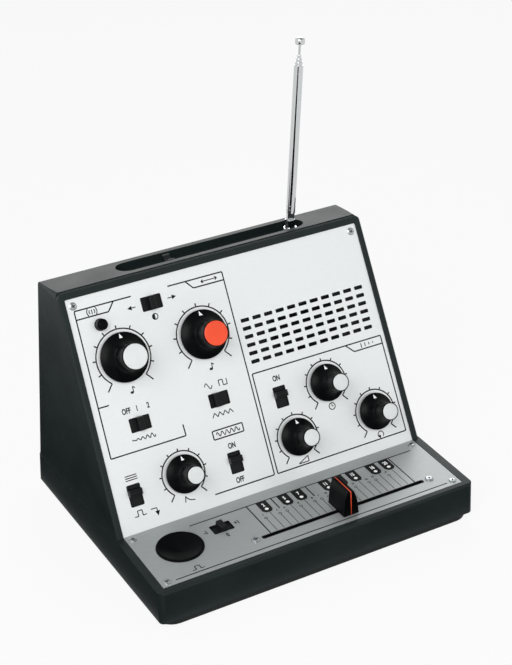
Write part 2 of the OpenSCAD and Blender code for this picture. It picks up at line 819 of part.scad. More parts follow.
module knob_cap(grip, h) {
    r = grip - cap_rim - disc_fit;
    translate([0, 0, h - cap_t]) rotate_extrude() polygon([
        [0, 0], [r, 0], [r, cap_t - 0.25], [r - 0.3, cap_t + 0.05], [r * 0.5, cap_t + 0.2], [0, cap_t + 0.25]
    ]);
}

module dial_shaft(top) {
    translate([0, 0, -board_w + 3]) cylinder(h = top + board_w - 3, r = shaft_r);
}

module big_knob() { knob(big_skirt_r, big_grip_r, big_knob_h); }
module small_knob() { knob(small_skirt_r, small_grip_r, small_knob_h); }
module big_cap() { knob_cap(big_grip_r, big_knob_h); }
module small_cap() { knob_cap(small_grip_r, small_knob_h); }

module knob_pitch_left() { color("#101213") placed() on_panel(pitch_left_at) big_knob(); }
module knob_pitch_right() { color("#101213") placed() on_panel(pitch_right_at) big_knob(); }
module knob_decay() { color("#101213") placed() on_panel(decay_at) small_knob(); }
module knob_time() { color("#101213") placed() on_panel(time_at) small_knob(); }
module knob_level() { color("#101213") placed() on_panel(level_at) small_knob(); }
module knob_feedback() { color("#101213") placed() on_panel(feedback_at) small_knob(); }
module cap_pitch_left() { color("#f2f3f3") placed() on_panel(pitch_left_at) big_cap(); }
module cap_pitch_right() { color("#ff5a2c") placed() on_panel(pitch_right_at) big_cap(); }
module cap_decay() { color("#f2f3f3") placed() on_panel(decay_at) small_cap(); }
module cap_time() { color("#f2f3f3") placed() on_panel(time_at) small_cap(); }
module cap_level() { color("#f2f3f3") placed() on_panel(level_at) small_cap(); }
module cap_feedback() { color("#f2f3f3") placed() on_panel(feedback_at) small_cap(); }
module shaft_pitch_left() { color("silver") placed() on_panel(pitch_left_at) dial_shaft(shaft_top); }
module shaft_pitch_right() { color("silver") placed() on_panel(pitch_right_at) dial_shaft(shaft_top); }
module shaft_decay() { color("silver") placed() on_panel(decay_at) dial_shaft(shaft_top); }
module shaft_time() { color("silver") placed() on_panel(time_at) dial_shaft(shaft_top); }
module shaft_level() { color("silver") placed() on_panel(level_at) dial_shaft(shaft_top); }
module shaft_feedback() { color("silver") placed() on_panel(feedback_at) dial_shaft(shaft_top); }

// Grooved thumb wheel with its shaft, on the rear wall
module volume_knob() {
    r = 6.4;
    color("#151819") placed() on_rear(volume_at) {
        difference() {
            cylinder_between(0.5, 7.6, r);
            cylinder_between(0, 2.2, nut_af / 2 / cos(30) + 0.4);
            for (a = [0:20:340]) rotate([0, 0, a]) translate([r, 0, 2.6]) cylinder(h = 6, r = 0.45, $fn = 16);
            translate([r - 3.2, -0.4, 7]) cube([4, 0.8, 2]);
        }
        cylinder_between(-wall - 4.5, 3, shaft_r);
    }
}

// ---- Switches --------------------------------------------------------------------------------------
function slab_l(travel) = window_l + 2 * travel + slab_over;

// Opening in the sheet for a switch's sliding slab
module switch_opening(travel) {
    l = slab_l(travel) + 2 * travel + 2 * free_fit;
    w = window_w + 0.4 + 2 * free_fit;
    translate([-l / 2, -w / 2, 0]) cube([l, w, 10]);
}

// Metal can behind the sheet
module switch_can(travel) {
    l = slab_l(travel) + 2 * travel + 2.4;
    w = window_w + 2.8;
    translate([0, 0, -sheet_back - can_t]) difference() {
        translate([-l / 2, -w / 2, 0]) cube([l, w, can_t]);
        translate([-l / 2 + can_wall, -w / 2 + can_wall, can_wall])
            cube([l - 2 * can_wall, w - 2 * can_wall, can_t]);
    }
}

// Sliding slab that fills the window, with a ribbed lever and a foot inside the can
module switch_lever(travel, at) {
    l = slab_l(travel);
    w = window_w + 0.4;
    top = lever_h;
    translate([at, 0, 0]) difference() {
        union() {
            translate([-l / 2, -w / 2, -plate_t - 0.1 - slab_t]) cube([l, w, slab_t]);
            translate([0, window_w / 2 - free_fit, 0]) rotate([90, 0, 0]) linear_extrude(window_w - 2 * free_fit)
                polygon([
                    [-lever_l / 2, -plate_t - 0.2], [lever_l / 2, -plate_t - 0.2],
                    [lever_l / 2 - 0.3, top - 0.3], [lever_l / 2 - 0.6, top],
                    [-lever_l / 2 + 0.6, top], [-lever_l / 2 + 0.3, top - 0.3]
                ]);
            translate([-3, -2, -sheet_back - can_t + 1]) cube([6, 4, sheet_back + can_t - 1 - plate_t - 0.5]);
        }
        for (i = [-1, 1]) translate([i * 0.75 - 0.2, -window_w, top - 0.35]) cube([0.4, 2 * window_w, 1]);
    }
}

module switch_frames() {
    color("#9aa0a3") placed() {
        for (s = switch_list()) on_panel(s[0]) rotate([0, 0, s[1]]) switch_can(s[2]);
        on_deck(octave_at, -deck_sink) switch_can(three_way);
        on_rear(power_at, -wall - 4) difference() {
            translate([-9, -4, 0]) cube([18, 8, 4]);
            translate([-7.6, -2.6, 0.6]) cube([15.2, 5.2, 4]);
        }
    }
}

module lever_mix() { color("#17191a") placed() on_panel(mix_at) switch_lever(three_way, 0); }
module lever_waveform() { color("#17191a") placed() on_panel(waveform_at) switch_lever(two_way, -two_way); }
module lever_modulation() { color("#17191a") placed() on_panel(modulation_at) switch_lever(three_way, 0); }
module lever_drone() {
    color("#17191a") placed() on_panel(drone_at) rotate([0, 0, 90]) switch_lever(two_way, two_way);
}
module lever_vibrato() {
    color("#17191a") placed() on_panel(vibrato_at) rotate([0, 0, 90]) switch_lever(two_way, two_way);
}
module lever_delay() {
    color("#17191a") placed() on_panel(delay_at) rotate([0, 0, 90]) switch_lever(two_way, two_way);
}
module lever_octave() { color("#17191a") placed() on_deck(octave_at, -deck_sink) switch_lever(three_way, 0); }

module lever_power() {
    color("#17191a") placed() on_rear(power_at) translate([-two_way, 0, 0]) {
        translate([-5.8, -2.4, -wall - 1.4]) cube([11.6, 4.8, 1.3]);
        translate([-1.9, -1.9, -wall - 0.2]) cube([3.8, 3.8, wall + 1.2]);
        translate([-2.5, -1.8, -wall - 3]) cube([5, 3.6, 1.7]);
    }
}

module round_button() {
    color("#141617") placed() on_panel(button_at) {
        rotate_extrude() polygon([
            [0, -board_w + 2.8], [1.5, -board_w + 2.8], [1.5, -sheet_back - 1.3], [button_r + 1, -sheet_back - 1.3],
            [button_r + 1, -sheet_back - 0.2], [button_r, -sheet_back - 0.2], [button_r, 3.2],
            [button_r - 0.4, 3.6], [0, 3.6]
        ]);
    }
}

// Round key with a dished top, a flange under the deck and a foot above its switch
module trigger_dish() {
    top = 0.9;
    bowl = 2.6;
    rim = 1.1;
    r = trigger_r;
    under = sheet_back + 0.2;
    color("#0f1112") placed() on_deck(trigger_at, -deck_sink) rotate_extrude() polygon(concat(
        [[0, -board_w + 3], [3, -board_w + 3], [3, -under - 1.2], [r + 1.2, -under - 1.2], [r + 1.2, -under]],
        [[r, -under], [r, top - 0.4], [r - 0.4, top], [r - rim, top]],
        [for (i = [1:9]) let (t = i / 10) [(r - rim) * (1 - t), top - bowl * sin(90 * t)]],
        [[0, top - bowl]]
    ));
}

// ---- Slide control ----------------------------------------------------------------------------------
module slide_track() {
    l = slot_l + 4 * slot_screw_out;
    room = slot_l + 3;
    color("#9aa0a3") placed() difference() {
        on_deck(slot_at, -board_w - deck_sink) difference() {
            translate([-l / 2, -4.5, 0]) cube([l, 9, board_w - sheet_back]);
            translate([-room / 2, -3.5, 1]) cube([room, 7, board_w - sheet_back]);
        }
        slot_screw_places() translate([0, 0, -6]) cylinder(h = 8, r = 1.2);
    }
}

module slide_carriage() {
    color("#4a4f52") placed() on_deck([fin_at[0], slot_at[1]], -deck_sink) {
        translate([-4, -3.3, -8]) cube([8, 6.6, 3]);
        translate([-2.2, -slot_w / 2 + 0.25, -5 - eps]) cube([4.4, slot_w - 0.5, 10]);
    }
}

// Wedge-shaped grip: long foot, sides that close towards the ridge
module slide_fin() {
    foot = 0.5;
    shoulder = fin_h * 0.66;
    ridge = fin_w * 0.42;
    back = fin_at[1] - slot_at[1];
    color("#0c0d0e") placed() on_deck(fin_at, -deck_sink) difference() {
        intersection() {
            // Section across the slot
            translate([0, fin_l, 0]) rotate([90, 0, 0]) linear_extrude(2 * fin_l) polygon([
                [-fin_w / 2, foot], [fin_w / 2, foot], [fin_w / 2 - 0.9, shoulder],
                [ridge / 2, foot + fin_h], [-ridge / 2, foot + fin_h], [-fin_w / 2 + 0.9, shoulder]
            ]);
            // Side view
            along_x(2 * fin_w) polygon(rounded(
                [
                    [-fin_l / 2, foot], [fin_l / 2, foot],
                    [fin_l / 2 + 0.6, foot + fin_h], [-fin_l / 2 + 0.6, foot + fin_h]
                ],
                [0, 0, 0.8, 0.8]
            ));
        }
        translate([-2.25, -back - slot_w / 2 + 0.2, -1]) cube([4.5, slot_w - 0.4, 6.2]);
    }
}

// ---- Antenna ------------------------------------------------------------------------------------------
module antenna_bush() {
    z1 = trough_floor;
    z0 = z1 - trough_wall - bush_drop;
    color("#c9cdd0") placed() translate([antenna_x, antenna_y, 0]) difference() {
        union() {
            cylinder_between(z0, z1, bush_out);
            cylinder_between(z1 - trough_wall - 1.4, z1 - trough_wall, bush_out + 3);
        }
        cylinder_between(z0 - 1, z1 + 1, bush_bore);
    }
}

module antenna_swivel() {
    z1 = trough_floor;
    color("#d5d8da") placed() translate([antenna_x, antenna_y, 0]) {
        difference() {
            union() {
                cylinder_between(z1 - trough_wall - bush_drop - 1.2, z1 + 0.4, bush_bore - run_fit);
                cylinder_between(z1 + 0.3, pivot_z - disc_drop + 0.1, 3.2);
                cylinder_between(pivot_z - disc_drop, pivot_z - disc_drop + 0.9, disc_r);
                cylinder_between(pivot_z - disc_drop + 0.8, pivot_z + ear_top, ear_r);
            }
            // Slot between the ears, open to both sides
            translate([-10, -tongue_t / 2 - 0.1, pivot_z - tongue_r - 0.4]) cube([20, tongue_t + 0.2, 20]);
        }
        // Hinge pin across the ears
        translate([0, ear_r - 0.4, pivot_z]) rotate([90, 0, 0]) cylinder(h = 2 * ear_r - 0.8, r = pin_r);
        // Ring that keeps the shaft in its bush
        cylinder_between(z1 - trough_wall - bush_drop - 1.2, z1 - trough_wall - bush_drop - 0.1, 4);
    }
}

// Tube between two distances from the pivot; a lip at its top holds the next tube
module tube(r, z0, z1) {
    difference() {
        cylinder_between(z0, z1, r);
        cylinder_between(z0 - 1, z1 - 1.6, r - tube_wall);
        cylinder_between(z0 - 1, z1 + 1, r - tube_step + run_fit);
    }
}

module antenna_tube_1() {
    color("#d9dcde") placed() on_antenna() difference() {
        union() {
            tube(tube_r, tube_start, tube_top);
            cylinder_between(tube_start, tube_start + tube_plug, tube_r - eps);
            for (z = [tube_start + 1.4, tube_start + 3.4]) cylinder_between(z, z + 0.8, tube_r + 0.12);
            // Flat tongue between the ears
            translate([-tongue_r, -tongue_t / 2, 0]) cube([2 * tongue_r, tongue_t, tube_start + 0.5]);
            translate([0, tongue_t / 2, 0]) rotate([90, 0, 0]) cylinder(h = tongue_t, r = tongue_r);
        }
        translate([0, 5, 0]) rotate([90, 0, 0]) cylinder(h = 10, r = pin_r + run_fit);
        cylinder_between(tube_start + tube_plug, tube_top - 1.6, tube_r - tube_wall);
    }
}

// Inner tube number k, counted from the outer one
module inner_tube(k) {
    z1 = tube_top + k * tube_show;
    tube(tube_r - k * tube_step, tube_start + tube_plug + 1 + k * tube_stop, z1);
}

module antenna_tube_2() { color("#dfe2e4") placed() on_antenna() inner_tube(1); }
module antenna_tube_3() { color("#dfe2e4") placed() on_antenna() inner_tube(2); }
module antenna_tube_4() { color("#dfe2e4") placed() on_antenna() inner_tube(3); }

module antenna_tip() {
    z1 = tube_top + 3 * tube_show + stem_show;
    color("#e3e5e7") placed() on_antenna() {
        cylinder_between(tube_start + tube_plug + 1 + 4 * tube_stop, z1 + 1, tube_r - 4 * tube_step);
        translate([0, 0, z1]) rotate_extrude() polygon([
            [0, 0], [tip_r - 0.5, 0], [tip_r, 0.5], [tip_r, tip_h - 1.2],
            [tip_r - 0.5, tip_h - 0.5], [tip_r - 1.3, tip_h], [0, tip_h]
        ]);
    }
}

// Saddle in the trough that the folded antenna drops into
module antenna_clip() {
    l = 4;
    w = 2 * tube_r + 3.4;
    color("#141617") placed() translate([clip_x - l / 2, antenna_y - w / 2, trough_floor]) difference() {
        cube([l, w, trough_depth + pivot_up - 1]);
        translate([-1, w / 2, trough_depth + pivot_up]) rotate([0, 90, 0]) cylinder(h = l + 2, r = tube_r + 0.3);
        translate([-1, w / 2 - 1, -1]) cube([l + 2, 2, 3]);
    }
}

// ---- Rear sockets -------------------------------------------------------------------------------------
// Round socket with a nut outside and a body inside
module socket(hole_r, bush, body, depth, af) {
    difference() {
        union() {
            translate([-body / 2, -body / 2, -wall - depth]) cube([body, body, depth]);
            translate([0, 0, -wall - eps]) cylinder(h = wall + 2.2, r = bush);
            cylinder(h = 1.6, r = af / 2 / cos(30), $fn = 6);
        }
        translate([0, 0, -wall - depth + 1.2]) cylinder(h = depth + 20, r = hole_r);
    }
}

module rear_sockets() {
    color("#2a2d2f") placed() {
        on_rear(line_at) socket(3.2, 4.8, 14, 20, 13);
        on_rear(phones_at) socket(1.8, 2.9, 9, 11, 8);
        // Power inlet with its centre pin
        on_rear(inlet_at) {
            difference() {
                union() {
                    translate([-5.5, -5.5, -wall - 9]) cube([11, 11, 9]);
                    translate([0, 0, -wall - eps]) cylinder(h = wall + 0.3, r = 5);
                }
                translate([0, 0, -wall - 7.6]) cylinder(h = 20, r = 2.9);
            }
            translate([0, 0, -wall - 8]) cylinder(h = wall + 6.5, r = 1);
        }
    }
}

base_tray();
base_pan();
battery_door();
battery_cells();
battery_contacts();
rubber_feet();
case_screws();
upper_housing();
front_frame();
main_panel();
apron_panel();
panel_screws();
slot_screws();
circuit_boards();
speaker_frame();
speaker_cone();
pot_housings();
pot_nuts();
knob_pitch_left();
knob_pitch_right();
knob_decay();
knob_time();
knob_level();
knob_feedback();
cap_pitch_left();
cap_pitch_right();
cap_decay();
cap_time();
cap_level();
cap_feedback();
shaft_pitch_left();
shaft_pitch_right();
shaft_decay();
shaft_time();
shaft_level();
shaft_feedback();
switch_frames();
lever_mix();
lever_waveform();
lever_modulation();
lever_drone();
lever_vibrato();
lever_delay();
lever_octave();
lever_power();
round_button();
trigger_dish();
slide_track();
slide_carriage();
slide_fin();
antenna_bush();
antenna_swivel();
antenna_tube_1();
antenna_tube_2();
antenna_tube_3();
antenna_tube_4();
antenna_tip();
antenna_clip();
rear_sockets();
volume_knob();
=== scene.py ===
"""Looks of a desktop theremin: finishes, printing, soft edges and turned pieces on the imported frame."""

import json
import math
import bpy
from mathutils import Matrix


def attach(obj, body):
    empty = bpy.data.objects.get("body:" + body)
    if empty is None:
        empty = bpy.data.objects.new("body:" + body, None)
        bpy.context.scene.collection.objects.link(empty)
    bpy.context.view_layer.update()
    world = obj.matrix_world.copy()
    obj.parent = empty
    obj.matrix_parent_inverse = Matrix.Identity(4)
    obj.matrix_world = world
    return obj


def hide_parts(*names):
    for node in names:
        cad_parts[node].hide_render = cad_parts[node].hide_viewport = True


bl_info = {
    "name": "Desktop Theremin",
    "version": (1, 0, 0),
    "blender": (4, 5, 0),
    "location": "3D View > Sidebar > Theremin",
    "description": "Dresses the theremin's frame with its finishes, printing and fine pieces",
    "category": "Object",
}

import bpy
from bpy.props import FloatProperty, PointerProperty, StringProperty
from mathutils import Matrix, Vector

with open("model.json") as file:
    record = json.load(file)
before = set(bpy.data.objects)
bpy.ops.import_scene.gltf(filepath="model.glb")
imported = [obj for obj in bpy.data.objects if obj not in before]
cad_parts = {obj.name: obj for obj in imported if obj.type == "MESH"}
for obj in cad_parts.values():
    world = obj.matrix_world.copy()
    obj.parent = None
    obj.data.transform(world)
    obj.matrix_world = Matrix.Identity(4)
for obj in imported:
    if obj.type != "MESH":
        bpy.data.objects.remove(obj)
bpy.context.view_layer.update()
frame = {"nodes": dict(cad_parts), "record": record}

MM = 0.001
# Places on the panel: across from the middle, and up the slope from its foot
BIG_DIALS = {"pitch_left": (-62, 86.9), "pitch_right": (-17.2, 86.9)}
SMALL_DIALS = {"decay": (-46.8, 21.2), "time": (44.4, 44), "level": (20.3, 21.1), "feedback": (68.6, 21.2)}
DIALS = {**BIG_DIALS, **SMALL_DIALS}
# A dial's flare: how far inside the skirt it starts, and the power of its curve
FLARE_INSET = 0.4
FLARE_POWER = 2.2
BUTTON_AT = (-69.4, 105.8)
PANEL_SCREWS = ((-80.9, 118.18), (80.9, 118.18))
# Places on the deck: across from the middle, and back from its front edge
TRIGGER_AT = (-65.3, 29.2)
FIN_AT = (21.4, 16)
DECK_SCREWS = ((-83.1, 7.6), (83.1, 7.6), (-83.1, 46.56), (83.1, 46.56))
SLOT_SCREWS = ((-30.25, 15.1), (73.45, 15.1))
NOTES = "wbwwbwbwwwbwbwbwwbwb"
NOTE_FIRST = -16.9
NOTE_PITCH = 4.12
# Small signs on the panel, each with the places where it is printed
SIGN_PLACES = {
    "fall": [(-46.8, 8.3)],
    "wedge": [(20.3, 8.3)],
    "pulse": [(-74.5, 9.1)],
    "drone": [(-74.5, 27.6)],
    "sine": [(-21.6, 60.4)],
    "square": [(-13.2, 60.4)],
    "echo": [(73.8, 57.5)],
    "both": [(-6.4, 113.3)],
    "note": [(-62.4, 69.7), (-17.6, 69.7)],
}
CLOCK_AT = (44.4, 31)
LOOP_AT = (68.6, 8.3)
RAYS_AT = (-72, 113.2)
HALF_MOON_AT = (-40, 102.4)
SLOT_GRILLE = ((4.6, 64.2), (80.1, 89.7))
SPEAKER_AT = (42.35, 76.93)
# Black floor cards that only the gloss shows: middle, width and length in metres, turn in degrees
CARDS = (
    ((-0.51, -0.61, 0.001), (0.52, 0.9), -41.5),
    ((-0.158, 0.12, 0.001), (0.13, 0.46), 0),
    ((0.03, -0.13, 0.001), (0.3, 0.09), 0),
)
# Lamps: name, edge in metres, power in watts, spread in degrees, place in metres
LAMPS = (
    ("key", 0.7, 10.7, 180, (-0.62, -0.66, 0.8)),
    ("fill", 1.2, 1.2, 180, (0.9, -0.8, 0.9)),
    ("rim", 0.9, 1.0, 70, (0.58, 1.05, 0.75)),
)
LAMP_AIM = (0, 0, 0.07)
# Camera fitted to the photograph: place in metres, turns in degrees, lens in millimetres
CAMERA_AT = (-0.3241, -0.6471, 0.4710)
CAMERA_AZIMUTH = 27.26
CAMERA_ELEVATION = 27.06
CAMERA_ROLL = -3.11
CAMERA_LENS = 110.98
BACKGROUND = "#F9F9F9"


# ---- Sizes and colours ----


def number(name, description, default):
    """A size in millimetres, or an angle in degrees where its description says so."""
    return FloatProperty(name=name, description=description, default=default)


def swatch(name, description, default):
    """A colour as an sRGB hex value."""
    return StringProperty(name=name, description=description, default=default)


class ThereminCase(bpy.types.PropertyGroup):
    """Places of the faces that the printing and the fine pieces sit on. Millimetres."""

    depth: number("Depth", "Depth of the base tray at its foot", 158.971)
    height: number("Height", "Height of the top's front edge above the table", 137.5)
    front_z: number("Front rim", "Height of the deck's front edge", 21.3)
    foot_z: number("Panel foot", "Height of the panel's foot", 23.7)
    deck_d: number("Deck depth", "Depth of the slide deck", 50.4)
    panel_angle: number("Panel slope", "Slope of the control panel in degrees", 64.6)
    top_d: number("Top depth", "Depth of the flat top", 24.8)
    antenna_x: number("Antenna", "Distance of the antenna from the middle", 52.6)
    pivot_up: number("Pivot", "Height of the antenna's pivot above the top's front edge", -0.6)
    lean: number("Lean", "Lean of the antenna to the right in degrees", 6)
    deck_sink: number("Deck plate", "Depth of the deck plate below its rim", 0.2)


class ThereminDials(bpy.types.PropertyGroup):
    """Sizes of the turned dials and of their printed scales. Millimetres."""

    gap: number("Gap", "Gap under a dial", 0.8)
    edge: number("Edge", "Height of a dial's upright edge", 1.5)
    flare_top: number("Flare", "Height at which the flare meets the grip", 9)
    big_skirt: number("Large skirt", "Skirt radius of a large dial", 12.85)
    big_grip: number("Large grip", "Grip radius of a large dial", 6.95)
    big_height: number("Large height", "Height of a large dial", 17.7)
    small_skirt: number("Small skirt", "Skirt radius of a small dial", 10)
    small_grip: number("Small grip", "Grip radius of a small dial", 4.9)
    small_height: number("Small height", "Height of a small dial", 17)
    big_scale: number("Large scale", "Radius of a large dial's printed arc", 14.62)
    small_scale: number("Small scale", "Radius of a small dial's printed arc", 11.83)
    sweep: number("Sweep", "Turn from the top to either end, in degrees", 140)


class ThereminPrint(bpy.types.PropertyGroup):
    """Sizes of the print. Millimetres."""

    line: number("Line", "Width of a printed line", 0.7)
    thin: number("Thin line", "Width of a thin printed line", 0.52)
    film: number("Film", "Thickness of the printed ink as drawn", 0.04)
    letter: number("Letter", "Height of a printed numeral", 2.9)


class ThereminColours(bpy.types.PropertyGroup):
    """Colours of the finishes, as sRGB hex values."""

    case: swatch("Case", "Moulded case", "#192121")
    base: swatch("Base", "Bottom cover and small mouldings", "#121616")
    gloss: swatch("Dials", "Dials, slider and trigger key", "#050607")
    panel: swatch("Panel", "Silver control panel", "#EAEDED")
    deck: swatch("Deck", "Grey deck plate", "#A6AAAA")
    ink: swatch("Ink", "Printed ink", "#060707")
    white: swatch("White cap", "White dial caps", "#D2D5D5")
    orange: swatch("Orange cap", "Orange dial cap", "#E44A27")
    chrome: swatch("Chrome", "Antenna", "#CED1D1")
    steel: swatch("Steel", "Screws and nuts", "#B4B9BB")


def case_sizes():
    return bpy.context.scene.theremin_case


def dial_sizes():
    return bpy.context.scene.theremin_dials


def print_sizes():
    return bpy.context.scene.theremin_print


def colours():
    return bpy.context.scene.theremin_colours


# ---- Places ----


def panel_place(u=0, v=0, w=0):
    """Control panel: x across, y up the slope, z out of its face. Millimetres."""
    c = case_sizes()
    turn = Matrix.Rotation(math.radians(c.panel_angle), 4, "X")
    foot = Matrix.Translation((0, c.deck_d - c.depth / 2, c.foot_z))
    return foot @ turn @ Matrix.Translation((u, v, w))


def deck_place(u=0, v=0, w=0):
    """Slide deck: x across, y back from the front edge, z out of its face. Millimetres."""
    c = case_sizes()
    turn = Matrix.Rotation(math.atan2(c.foot_z - c.front_z, c.deck_d), 4, "X")
    front = Matrix.Translation((0, -c.depth / 2, c.front_z))
    return front @ turn @ Matrix.Translation((u, v, w - c.deck_sink))


def antenna_place():
    """The antenna's own line: z runs from the pivot to the tip. Millimetres."""
    c = case_sizes()
    panel_run = (c.height - c.foot_z) / math.tan(math.radians(c.panel_angle))
    y = c.deck_d + panel_run + c.top_d / 2 - c.depth / 2
    turn = Matrix.Rotation(math.radians(c.lean), 4, "Y")
    return Matrix.Translation((c.antenna_x, y, c.height + c.pivot_up)) @ turn


# ---- Modelling ----


def deselect():
    if bpy.context.mode != "OBJECT":
        bpy.ops.object.mode_set(mode="OBJECT")
    bpy.ops.object.select_all(action="DESELECT")


def activate(piece):
    deselect()
    piece.select_set(True)
    bpy.context.view_layer.objects.active = piece


def added(name, operator, **settings):
    """The object that an operator adds, named."""
    deselect()
    operator(**settings)
    piece = bpy.context.object
    piece.name = name
    return piece


def edit(piece):
    activate(piece)
    bpy.ops.object.mode_set(mode="EDIT")


def edit_whole(piece):
    edit(piece)
    bpy.ops.mesh.select_all(action="SELECT")


def finish_edit():
    bpy.ops.object.mode_set(mode="OBJECT")


def modify(piece, kind, **settings):
    """Adds a modifier with its settings and applies it."""
    activate(piece)
    bpy.ops.object.modifier_add(type=kind)
    modifier = piece.modifiers[-1]
    for key, value in settings.items():
        setattr(modifier, key, value)
    bpy.ops.object.modifier_apply(modifier=modifier.name)


def smooth(piece, degrees=30):
    activate(piece)
    bpy.ops.object.shade_smooth_by_angle(angle=math.radians(degrees))


def seat(piece, place):
    """Moves a piece modelled in millimetres at the origin to its place, and applies it."""
    piece.matrix_world = Matrix.Scale(MM, 4) @ place
    activate(piece)
    bpy.ops.object.transform_apply(location=True, rotation=True, scale=True)


def copy_piece(piece, name):
    twin = piece.copy()
    twin.data = piece.data.copy()
    twin.name = name
    bpy.context.scene.collection.objects.link(twin)
    return twin


def join(pieces, name):
    deselect()
    for piece in pieces:
        piece.select_set(True)
    bpy.context.view_layer.objects.active = pieces[0]
    bpy.ops.object.join()
    whole = bpy.context.view_layer.objects.active
    whole.name = name
    return whole


def dress(piece, body, material, slot, *nodes):
    """Gives a finished piece its material and its body, and hides the nodes that it stands for; the slot is
    not used.
    """
    if material:
        piece.data.materials.clear()
        piece.data.materials.append(finishes()[material])
    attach(piece, body)
    if nodes:
        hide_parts(*nodes)


def turned(name, profile, segments=64, through=False):
    """A turned solid: a disc drawn out and resized along a profile of (radius, height).

    Through makes a sleeve instead, whose profile closes on itself.
    """
    radius, low = profile[0]
    steps = list(profile)
    if through:
        steps.append(profile[0])
    fill = "NOTHING" if through else "NGON"
    circle = {"vertices": segments, "radius": radius, "location": (0, 0, low), "fill_type": fill}
    piece = added(name, bpy.ops.mesh.primitive_circle_add, **circle)
    activate(piece)
    bpy.ops.object.transform_apply(location=True, rotation=False, scale=False)
    edit_whole(piece)
    for (r0, z0), (r1, z1) in zip(steps, steps[1:]):
        bpy.ops.mesh.extrude_region_move(TRANSFORM_OT_translate={"value": (0, 0, z1 - z0)})
        bpy.ops.transform.resize(value=(r1 / r0, r1 / r0, 1), center_override=(0, 0, z1))
    bpy.ops.mesh.select_all(action="SELECT")
    if through:
        bpy.ops.mesh.remove_doubles(threshold=0.001)
    bpy.ops.mesh.normals_make_consistent(inside=False)
    finish_edit()
    smooth(piece)
    return piece


def softened(node, width):
    """A copy of a CAD node with its sharp edges rounded off by a width in millimetres."""
    sharp_from = 32
    piece = copy_piece(frame["nodes"][node], node + "_soft")
    # The copy drops the frame's own marks
    for key in [k for k in piece.keys() if k.startswith("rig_")]:
        del piece[key]
    piece.parent = None
    piece.matrix_world = Matrix.Identity(4)
    edit_whole(piece)
    bpy.ops.mesh.customdata_custom_splitnormals_clear()
    bpy.ops.mesh.remove_doubles(threshold=1e-6)
    bpy.ops.mesh.dissolve_limited(angle_limit=math.radians(0.4))
    finish_edit()
    modify(
        piece,
        "BEVEL",
        width=width * MM,
        segments=2,
        limit_method="ANGLE",
        angle_limit=math.radians(sharp_from),
        miter_outer="MITER_ARC",
        harden_normals=True,
    )
    smooth(piece, sharp_from)
    modify(piece, "WEIGHTED_NORMAL", mode="FACE_AREA", weight=60, keep_sharp=True)
    return piece


# ---- Finishes ----


def linear(hex_colour):
    """An sRGB hex value as linear RGBA."""
    parts = [int(hex_colour[i : i + 2], 16) / 255 for i in (1, 3, 5)]
    return (*[p / 12.92 if p <= 0.04045 else ((p + 0.055) / 1.055) ** 2.4 for p in parts], 1.0)


def add(tree, kind, inputs=None, **settings):
    """Adds a node with its settings; an input is a value, or another node's socket to link."""
    made = tree.nodes.new(kind)
    for key, value in settings.items():
        setattr(made, key, value)
    for key, value in (inputs or {}).items():
        if isinstance(value, bpy.types.NodeSocket):
            tree.links.new(value, made.inputs[key])
        else:
            made.inputs[key].default_value = value
    return made


def blank(name):
    """A new material with its tree, shader and the piece's own coordinates."""
    material = bpy.data.materials.new(name)
    material.use_nodes = True
    tree = material.node_tree
    shader = tree.nodes["Principled BSDF"]
    own = add(tree, "ShaderNodeTexCoord").outputs["Object"]
    return material, tree, shader, own


def noise(tree, vector, size, detail=2.0, roughness=0.5):
    """A noise whose features are about a size in millimetres."""
    settings = {"Vector": vector, "Scale": 1 / (size * MM), "Detail": detail, "Roughness": roughness}
    return add(tree, "ShaderNodeTexNoise", settings).outputs["Fac"]


def ramp(tree, factor, stops):
    """A colour ramp from (position, grey) stops."""
    made = add(tree, "ShaderNodeValToRGB", {"Fac": factor})
    elements = made.color_ramp.elements
    while len(elements) < len(stops):
        elements.new(0.5)
    for element, (position, grey) in zip(elements, stops):
        element.position = position
        element.color = (grey, grey, grey, 1)
    return made.outputs["Color"]


def tinted(tree, shader, colour, tone):
    """A base colour whose brightness follows a tone."""
    # Inputs 6 and 7 and output 2 are the mix node's colours
    factors = {0: 1.0, 6: linear(colour), 7: tone}
    mixed = add(tree, "ShaderNodeMix", factors, data_type="RGBA", blend_type="MULTIPLY")
    tree.links.new(mixed.outputs[2], shader.inputs["Base Color"])


def roughened(tree, shader, factor, *stops):
    """A roughness that follows a noise."""
    tree.links.new(ramp(tree, factor, stops), shader.inputs["Roughness"])


def sum_of(tree, operation, first, second):
    """The result of an operation on two values or sockets."""
    return add(tree, "ShaderNodeMath", {0: first, 1: second}, operation=operation).outputs[0]


def blended(tree, share, first, second):
    """A shader that goes from a first node's to a second node's with a share."""
    inputs = {0: share, 1: first.outputs[0], 2: second.outputs[0]}
    return add(tree, "ShaderNodeMixShader", inputs)


def relief(tree, shader, height, distance, strength):
    """A bump of a height in millimetres."""
    made = add(tree, "ShaderNodeBump", {"Height": height, "Distance": distance * MM, "Strength": strength})
    tree.links.new(made.outputs["Normal"], shader.inputs["Normal"])


def spark_grained_abs(name, colour, rough, grain=0.35, height=0.03, gloss=0.2):
    """ABS moulded in a spark-grained tool: satin, with a fine even grain and slightly rubbed tone."""
    material, tree, shader, own = blank(name)
    grit = noise(tree, own, grain, 3.0, 0.6)
    cloud = noise(tree, own, 26, 4.0, 0.55)
    tinted(tree, shader, colour, ramp(tree, cloud, [(0.3, 0.88), (0.7, 1.1)]))
    roughened(tree, shader, cloud, (0.25, rough - 0.05), (0.75, rough + 0.06))
    relief(tree, shader, grit, height, 0.6)
    shader.inputs["IOR"].default_value = 1.5
    shader.inputs["Specular IOR Level"].default_value = gloss
    return material


